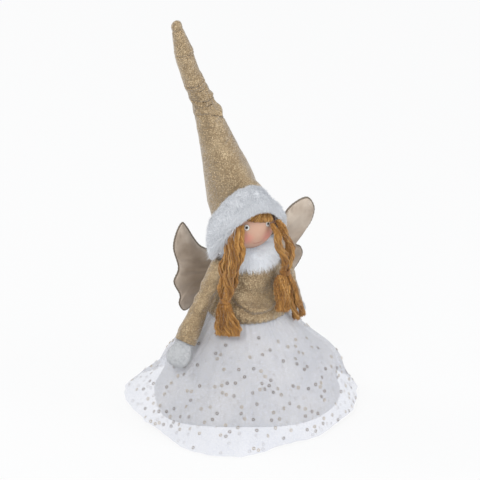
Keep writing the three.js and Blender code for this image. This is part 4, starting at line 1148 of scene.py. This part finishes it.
# Each row: share of the length down the arm and half width, with the half depth too for a mitten
SLEEVE_ROWS = [
    [-0.108, 0.02], [-0.1, 0.3], [-0.087, 0.46], [-0.06, 0.64], [-0.03, 0.745], [0, 0.77], [0.15, 0.76],
    [0.4, 0.73], [0.7, 0.87], [0.94, 1], [1, 0.98],
]
MITTEN_ROWS = [
    [0, 0.58, 0.87], [0.2, 0.6, 0.87], [0.34, 0.69, 0.87], [0.5, 0.88, 0.97], [0.68, 1, 1],
    [0.84, 0.91, 0.91], [0.93, 0.72, 0.75], [0.98, 0.44, 0.47], [1, 0.12, 0.14],
]


def sleeve_reach(angle, share, slim, sign):
    """How far the sleeve's cloth stands off the arm's middle, with its slack folds and its sewn hem."""
    size = SLEEVE_RADIUS * table_value(SLEEVE_ROWS, share) * slim
    rumple = noise.noise(around(1.7, angle, 9 * share + 5 * sign))
    slant = 0.0005 * swell(share - 0.42, 0.3) * math.sin(34 * share + 2 * angle)
    hem = 0.0004 * swell(share - 0.93, 0.012) + 0.0003 * swell(share - 0.99, 0.012)
    return size + (0.0009 * rumple + slant if share > 0.02 else 0) - hem


def mitten_spot(angle, share, size=1.0):
    wide = size * MITTEN_HALF_WIDTH * table_value(MITTEN_ROWS, share, 1)
    deep = size * MITTEN_HALF_DEPTH * table_value(MITTEN_ROWS, share, 2)
    return Vector((wide * math.cos(angle), deep * math.sin(angle), share * MITTEN))


def arm(side, sign, hand_angle, slim, moved):
    shoulder = Vector((SHOULDER_MIDDLE + sign * SHOULDER_HALF, 0, SHOULDER_LEVEL)) + moved
    hand = around(HAND_REACH, hand_angle, HAND_LEVEL) + moved
    turn = Vector((0, 0, -1)).rotation_difference((hand - shoulder).normalized())
    body = f"arm_{side}"

    def placed(spot):
        return shoulder + turn @ Vector((spot.x, spot.y, -spot.z))

    rows = []
    for share in evenly(100, -SLEEVE_TOP_SHARE, 1 + SLEEVE_TOP_SHARE):
        reaches = [(angle, sleeve_reach(angle, share, slim, sign)) for angle in circle(96)]
        rows.append([placed(around(reach, angle, SLEEVE * share)) for angle, reach in reaches])
    for share, size in CUFF_FOLD:
        rows.append([placed(around(SLEEVE_RADIUS * size, angle, SLEEVE * share)) for angle in circle(96)])
    sleeve = cloth_piece(f"sleeve_{side}_cloth", rows, lame, capped=True, turned=True)
    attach(sleeve, body)
    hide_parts(f"sleeve_{side}")

    rows = []
    for share in evenly(60):
        row = []
        for spot in (mitten_spot(angle, share) for angle in circle(64)):
            lump = 1 + 0.03 * noise.noise(spot * 200 + Vector((0, 0, sign)))
            row.append(placed(Vector((spot.x * lump, spot.y * lump, MITTEN_TOP + spot.z))))
        rows.append(row)
    mitten = cloth_piece(f"mitten_{side}_cloth", rows, mitten_cloth, capped=True, turned=True)
    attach(mitten, body)
    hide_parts(f"mitten_{side}")

    chance = random.Random(41 + sign)
    palm = placed(Vector((0, 0, MITTEN_TOP + 0.6 * MITTEN)))
    down = turn @ Vector((0, 0, -1))
    roots = []
    for _ in range(MITTEN_HAIRS):
        share = chance.uniform(0.24, 1.0)
        angle = chance.uniform(0, 2 * math.pi)
        foot = placed(mitten_spot(angle, share, 0.97) + Vector((0, 0, MITTEN_TOP)))
        away = (foot - palm).normalized()
        lean = away * 0.6 + down * 0.5 + loose(chance, 0.45)
        roots.append((foot, lean, chance.uniform(0.0012, 0.0024), down * 0.3, away.cross(loose(chance, 1))))
    pile = hairs(f"mitten_{side}_pile", roots, mitten_cloth, half_width=0.00016, steps=2)
    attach(pile, body)


# The fur cloth's glow of 0.05 is painted light that brightens the mittens' shade.
mitten_cloth = fur_finish("white fur cloth", (0.5, 0.505, 0.51), (0.58, 0.585, 0.59), 90, 0.05)
arm("right", -1, math.radians(190), 1, Vector())
arm("left", 1, math.radians(31.5), 0.95, NEARER)

# Wing bridge: a padded strip of satin, sewn up the middle of the back, that holds both wings. A row
# of stitches draws it in down its middle.
BRIDGE_MIDDLE = Vector((0.008, 0.0297, 0.1348))
BRIDGE_HALF = Vector((0.007, 0.0067, 0.0107))
STITCH_DENT = 0.07


def satin_finish(name, dark, plain, bright):
    finish, tree, shader, place = finish_base(name, plain, 0.34, {"Metallic": 0.35, "Sheen Weight": 0.3})
    colour_by(tree, shader, noise_map(tree, place, 34, detail=3), (0.3, dark), (0.52, plain), (0.75, bright))
    roughness_by(tree, shader, noise_map(tree, place, 60), 0.26, 0.5)
    pucker = relief(tree, shader, noise_map(tree, place, 75, detail=4, stretch=(1, 1, 0.45)), 0.0012, 0.4)
    weave(tree, shader, place, 0.0004, 0.00005, pucker)
    return finish


def bridge_point(angle, share):
    c, s = math.cos(angle), math.sin(angle)
    full = (1 - abs(share) ** 5) ** 0.5
    size = (c**4 + s**4) ** -0.25 * (1 - STITCH_DENT * swell(c, 0.12)) * (0.55 + 0.45 * full)
    return BRIDGE_MIDDLE + Vector((BRIDGE_HALF.x * c * size, BRIDGE_HALF.y * s * size, BRIDGE_HALF.z * share))


satin = satin_finish("champagne satin", (0.3, 0.23, 0.17), (0.44, 0.355, 0.28), (0.62, 0.535, 0.445))
bridge_rows = [[bridge_point(angle, share) for angle in circle(64)] for share in evenly(40, -1, 2)]
bridge = cloth_piece("wing_bridge_strip", bridge_rows, satin, capped=True)
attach(bridge, "doll")
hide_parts("wing_bridge")

# Wings: two layers of champagne satin over thin padding, cut to a large upper and a small lower
# lobe. Their edges are bound with a dark cord piping, and their roots are sewn to the bridge.
WING_SPAN = 0.075
WING_LOWEST = 0.091
WING_HEIGHT = 0.097
WING_SWEEP = math.radians(8)
WING_ROOT = 0.0073
WING_BACK = 0.03266
WING_STEPS = 200
PAD_INSET, CORD_INSET = 0.0013, 0.0009
PIPING_RADIUS = 0.00085
RIGHT_MIDDLE, LEFT_MIDDLE = (0.605, 0.42), (0.68, 0.45)
# Each outline runs from the root round the upper lobe, in shares of the span and of the height
RIGHT_WING = [
    (0.125, 0.55), (0.27, 0.58), (0.42, 0.65), (0.545, 0.71), (0.635, 0.81), (0.72, 0.93), (0.79, 0.985),
    (0.87, 0.88), (0.91, 0.71), (0.845, 0.49), (0.905, 0.34), (0.825, 0.19), (0.835, 0.09), (0.755, 0.01),
    (0.6, 0.09), (0.37, 0.25), (0.125, 0.36),
]
LEFT_WING = [
    (0.125, 0.55), (0.29, 0.58), (0.5, 0.69), (0.64, 0.87), (0.79, 0.965), (1, 0.995), (1.11, 0.87),
    (1.08, 0.74), (0.99, 0.645), (0.91, 0.588), (0.826, 0.522), (0.9, 0.473), (0.933, 0.39), (0.873, 0.302),
    (0.79, 0.225), (0.775, 0.15), (0.72, 0.09), (0.6, 0.14), (0.36, 0.26), (0.125, 0.36),
]


def spaced(points, count, closed=False):
    """Evenly spaced points on a smooth curve through the given ones."""
    total = len(points)
    dense = []
    for k in range(total if closed else total - 1):
        near = [k + n if closed else min(max(k + n, 0), total - 1) for n in (-1, 0, 1, 2)]
        p = [points[n % total] for n in near]
        for step in range(24):
            t = step / 24
            spot = p[1] * 2 + (p[2] - p[0]) * t
            spot += (p[0] * 2 - p[1] * 5 + p[2] * 4 - p[3]) * t**2
            spot += (p[1] * 3 - p[0] - p[2] * 3 + p[3]) * t**3
            dense.append(spot / 2)
    dense.append(points[0 if closed else -1].copy())
    travelled = [0.0]
    for before, after in zip(dense, dense[1:]):
        travelled.append(travelled[-1] + (after - before).length)
    result, at = [], 0
    for k in range(count):
        goal = travelled[-1] * k / (count if closed else count - 1)
        while at < len(dense) - 2 and travelled[at + 1] < goal:
            at += 1
        part = (goal - travelled[at]) / max(travelled[at + 1] - travelled[at], 1e-9)
        result.append(dense[at].lerp(dense[at + 1], min(max(part, 0), 1)))
    return result


def on_wing(out_share, high_share):
    """A place on the flat wing, before it is swept back."""
    return Vector((out_share * WING_SPAN, 0, WING_LOWEST + high_share * WING_HEIGHT))


def wing_place(out, deep, level, sign):
    reach = out - WING_ROOT
    swept = WING_ROOT + reach * math.cos(WING_SWEEP) - deep * math.sin(WING_SWEEP)
    back = reach * math.sin(WING_SWEEP) + deep * math.cos(WING_SWEEP)
    return Vector((BRIDGE_MIDDLE.x + sign * swept, WING_BACK + back, level))


def wing(side, shares, middle_shares, sign):
    outline = spaced([on_wing(*place_shares) for place_shares in shares], WING_STEPS, closed=True)
    inward = []
    for i in range(WING_STEPS):
        along = (outline[(i + 1) % WING_STEPS] - outline[i - 1]).normalized()
        inward.append(Vector((along.z, 0, -along.x)))
    middle = on_wing(*middle_shares)
    root = Vector((0.004, 0, on_wing(0, 0.43).z))

    def pad_point(i, share, face):
        """A place on the front or the back of the pad, puffed out and drawn into streaks from the root."""
        spot = middle.lerp(outline[i] + inward[i] * PAD_INSET, share)
        off = spot - root
        theta = math.atan2(off.z, off.x)
        streak = noise.noise(Vector((theta * 4.2, off.length * 16, 3 * face + sign)))
        fine = noise.noise(Vector((theta * 14, off.length * 45, 7 * face + sign)))
        crown = 0.0006 + 0.0034 * math.sqrt(max(0, 1 - share * share))
        pucker = 0.00025 * math.sin(i * 0.9) * swell(share - 0.93, 0.05)
        deep = crown + (0.0019 * streak + 0.0005 * fine) * (1 - share**5) + pucker
        return wing_place(spot.x, face * deep, spot.z, sign)

    body = f"wing_{side}"
    rings = [0.04] + [k / 26 for k in range(2, 26)] + [0.985, 1.0]
    rows = [[pad_point(i, share, -1) for i in range(WING_STEPS)] for share in rings]
    rows += [[pad_point(i, share, 1) for i in range(WING_STEPS)] for share in reversed(rings)]
    pad = cloth_piece(f"wing_{side}_pad", rows, satin, capped=True, turned=sign > 0)
    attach(pad, body)
    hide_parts(body)

    cord_line = [spot + inward[i] * CORD_INSET for i, spot in enumerate(outline)]
    cord_line = [wing_place(spot.x, 0, spot.z, sign) for spot in cord_line + cord_line[:2]]
    cord = strands(
        f"wing_{side}_piping_cord", [(cord_line, PIPING_RADIUS, 0)], [piping_cord], sides=8,
        turns_per_metre=260, closed=True,
    )
    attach(cord, body)
    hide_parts(f"wing_{side}_piping")


piping_cord = paint("dark piping", (0.24, 0.195, 0.15), 0.6)
wing("right", RIGHT_WING, RIGHT_MIDDLE, -1)
wing("left", LEFT_WING, LEFT_MIDDLE, 1)

# Pigtails: each is a hank of ginger yarn in loose wavy locks, sewn under the hat beside the cheek. It
# is wound with a few turns of the same yarn, and below them the cut ends spread into tassels.
HANK_RADIUS = 0.009
HANK_STEPS = 64
HANK_ROWS = [[0, 0.5], [0.06, 0.62], [0.25, 0.92], [0.5, 1], [0.75, 0.95], [0.92, 0.7], [1, 0.5]]
WIDE_ROWS = [[0, 0.62], [0.12, 0.9], [0.27, 1.3], [0.6, 1.3], [0.8, 1.2], [0.93, 0.8], [1, 0.5]]
TWO_LOCKS = (0.0, 0.45, 3.14, 3.6)
TASSEL_ROWS = [[0, 0.32], [0.12, 0.5], [0.4, 0.75], [0.8, 1], [1, 0.95]]
FULL_TASSEL_ROWS = [[0, 0.4], [0.1, 0.75], [0.3, 0.98], [0.7, 1], [1, 0.9]]
LOOSE_YARN = (0.00065, 0.00095)
CUT_YARN = (0.00055, 0.0008)
CORE_YARN = 2.2
TIE_TURNS = 4
TIE_HALF = 0.0022
TIE_YARN = 0.0009
HINGE_REACH = 0.0321
HINGE_TURN = math.radians(30)
FLUFF_LENGTH = (0.0012, 0.0028)


def frames_along(line, outward):
    """For each point of a line: the point, the way across the hank and the way out of it."""
    frames = []
    for index, spot in enumerate(line):
        along = (line[min(index + 1, len(line) - 1)] - line[max(index - 1, 0)]).normalized()
        wide = along.cross(outward).normalized()
        frames.append((spot, wide, wide.cross(along).normalized()))
    return frames


def hank_paths(
    points, outward, width_at, locks, per_lock, seed, thickness, spread=1.0, ends=0, swirl=1.2, starts=None
):
    """Yarns in flat wavy locks along a curve. width_at gives the half width and half depth at each share."""
    chance = random.Random(seed)
    line = spaced(points, HANK_STEPS)
    frames = frames_along(line, outward)
    total = sum((b - a).length for a, b in zip(line, line[1:]))
    paths = []
    for lock in range(locks):
        phase = starts[lock] if starts else 2 * math.pi * lock / locks + chance.uniform(-0.25, 0.25)
        wave_phase = chance.uniform(0, 6.28)
        wave_length = chance.uniform(0.024, 0.034)
        crimp_length = chance.uniform(0.0065, 0.009)
        for yarn in range(per_lock):
            own = 2 * math.pi * yarn * 0.618
            tight = 0.3 * math.sqrt((yarn + 0.3) / per_lock)
            tint = chance.choice((0, 0, 0, 1, 1, 2))
            radius = chance.uniform(*thickness)
            if yarn == 0:
                radius, tint = CORE_YARN * thickness[1], 1
            wander = chance.uniform(0, 50)
            crimp_phase = wave_phase + 0.6 * noise.noise(Vector((wander, 0, 0)))
            path = []
            for index in range(HANK_STEPS - chance.randint(0, ends)):
                spot, wide, deep = frames[index]
                share = index / (HANK_STEPS - 1)
                half_wide, half_deep = width_at(share)
                down = share * total
                lock_turn = phase + swirl * share
                wave = 2 * math.pi * down / wave_length + wave_phase
                crimp = 0.03 * math.sin(2 * math.pi * down / crimp_length + crimp_phase)
                inner = own + 2 * math.pi * down / 0.055
                x = 0.6 * spread * math.cos(lock_turn) + 0.13 * math.sin(wave) + crimp
                y = 0.55 * math.sin(lock_turn) + 0.1 * math.cos(wave)
                x += tight * math.cos(inner) + 0.1 * noise.noise(Vector((wander, 170 * down, 0)))
                y += tight * math.sin(inner) + 0.1 * noise.noise(Vector((wander, 0, 170 * down)))
                path.append(spot + wide * x * half_wide + deep * y * half_deep)
            paths.append((path, radius, tint))
    return paths


def hank_width(share):
    half = HANK_RADIUS * table_value(HANK_ROWS, share)
    return half, half


def wide_hank_width(share):
    return HANK_RADIUS * table_value(WIDE_ROWS, share), 0.9 * HANK_RADIUS * table_value(HANK_ROWS, share)


def tassel_width(half_wide, half_deep, rows=TASSEL_ROWS):
    def width_at(share):
        size = table_value(rows, share)
        return half_wide * size, half_deep * math.sqrt(size)

    return width_at


def tassel_points(start, end, outward, half_deep):
    first = start + Vector((0, 0, -0.0021))
    return [first, first.lerp(end, 0.5) + outward * half_deep * 0.15, end]


def wound_tie(name, middle, radius, body, node):
    """A few turns of yarn round the hank."""
    path = []
    for step in range(TIE_TURNS * 24 + 1):
        angle = 2 * math.pi * step / 24
        level = TIE_HALF * (2 * step / (TIE_TURNS * 24) - 1) + 0.0004 * math.sin(2 * angle)
        path.append(middle + around(radius * (1 + 0.05 * math.sin(3 * angle + step * 0.05)), angle, level))
    piece = strands(name, [(path, TIE_YARN, 1)], yarns, sides=8)
    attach(piece, body)
    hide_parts(node)


def hang(piece, body, hinge):
    """The piece rides on its body. With a hinge, its shape is fixed where it is and it is not attached to the
    body.
    """
    if hinge is None:
        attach(piece, body)
    else:
        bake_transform(piece)


def hair_piece(name, paths, body, node, hinge=None):
    """The yarns of one piece, and the short fluff that stands off them."""
    piece = strands(name, paths, yarns, sides=5, turns_per_metre=150)
    hang(piece, body, hinge)
    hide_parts(node)
    chance = random.Random(len(paths))
    roots = []
    for line, radius, pick in paths:
        for before, spot in zip(line, line[1:]):
            along = (spot - before).normalized()
            for _ in range(2):
                away = along.cross(loose(chance, 1)).normalized()
                lean = along + away * chance.uniform(0.25, 0.9)
                foot, length = spot + away * radius * 0.8, chance.uniform(*FLUFF_LENGTH)
                roots.append((foot, lean, length, loose(chance, 0.5), along.cross(away)))
    fluff = hairs(name + "_fluff", roots, yarns[0], half_width=0.00011, steps=2)
    hang(fluff, body, hinge)


def turned(reach, degrees, level, shift=0.0):
    return around(reach, math.radians(degrees), level) + Vector((shift, 0, 0))


right_top = on_head(0.031, math.radians(-40), math.radians(14))
right_tie = turned(0.0462, -141, 0.1302)
right_line = [
    right_top, on_head(0.0385, math.radians(-39), math.radians(-5)), turned(0.0462, -133.5, 0.1676),
    turned(0.0462, -138.5, 0.1461), right_tie,
]
right_out = Vector((right_tie.x - SHOULDER_MIDDLE, right_tie.y, 0)).normalized()
right_locks = hank_paths(right_line, right_out, wide_hank_width, 6, 13, 51, LOOSE_YARN, swirl=0.8)
right_hinge = on_head(HINGE_REACH, -HINGE_TURN, 0)
hair_piece("pigtail_right_yarn", right_locks, "pigtail_right", "pigtail_right", hinge=right_hinge)
wound_tie("pigtail_right_winding", right_tie, 0.0047, "pigtail_right", "pigtail_right_tie")
right_tassel = tassel_points(right_tie, turned(0.0507, -135.5, 0.0961), right_out, 0.0065)
right_width = tassel_width(0.0156, 0.006)
right_ends = hank_paths(right_tassel, right_out, right_width, 8, 15, 52, CUT_YARN, ends=3, swirl=0.3)
hair_piece("tassel_right_yarn", right_ends, "pigtail_right", "tassel_right")

left_top = on_head(0.0315, math.radians(33), math.radians(12))
left_tie = turned(0.0353, -50, 0.1471, 0.005)
left_line = [
    left_top, on_head(0.0385, math.radians(35), math.radians(-9)),
    turned(0.0378, -47, 0.1596, 0.005), left_tie,
]
left_out = around(1, math.radians(-78))
left_locks = hank_paths(
    left_line, left_out, hank_width, 4, 13, 61, LOOSE_YARN, spread=1.2, swirl=0.4, starts=TWO_LOCKS
)
left_hinge = on_head(HINGE_REACH, HINGE_TURN, 0)
hair_piece("pigtail_left_yarn", left_locks, "pigtail_left", "pigtail_left", hinge=left_hinge)
wound_tie("pigtail_left_winding", left_tie, 0.0045, "pigtail_left", "pigtail_left_tie")
aside = left_out.cross(Vector((0, 0, 1))) * 0.00342
inner_line = tassel_points(left_tie + aside * 1.3, turned(0.0476, -68, 0.1146), left_out, 0.005)
inner_width = tassel_width(0.0098, 0.0048, FULL_TASSEL_ROWS)
inner_ends = hank_paths(inner_line, left_out, inner_width, 6, 14, 62, CUT_YARN, ends=3, swirl=0.3)
hair_piece("tassel_left_inner_yarn", inner_ends, "pigtail_left", "tassel_left_inner")
outer_line = tassel_points(left_tie - aside, turned(0.0513, -33, 0.0955), left_out, 0.005)
outer_width = tassel_width(0.0078, 0.0048)
outer_ends = hank_paths(outer_line, left_out, outer_width, 4, 15, 63, CUT_YARN, ends=4, swirl=0.6)
hair_piece("tassel_left_outer_yarn", outer_ends, "pigtail_left", "tassel_left_outer")
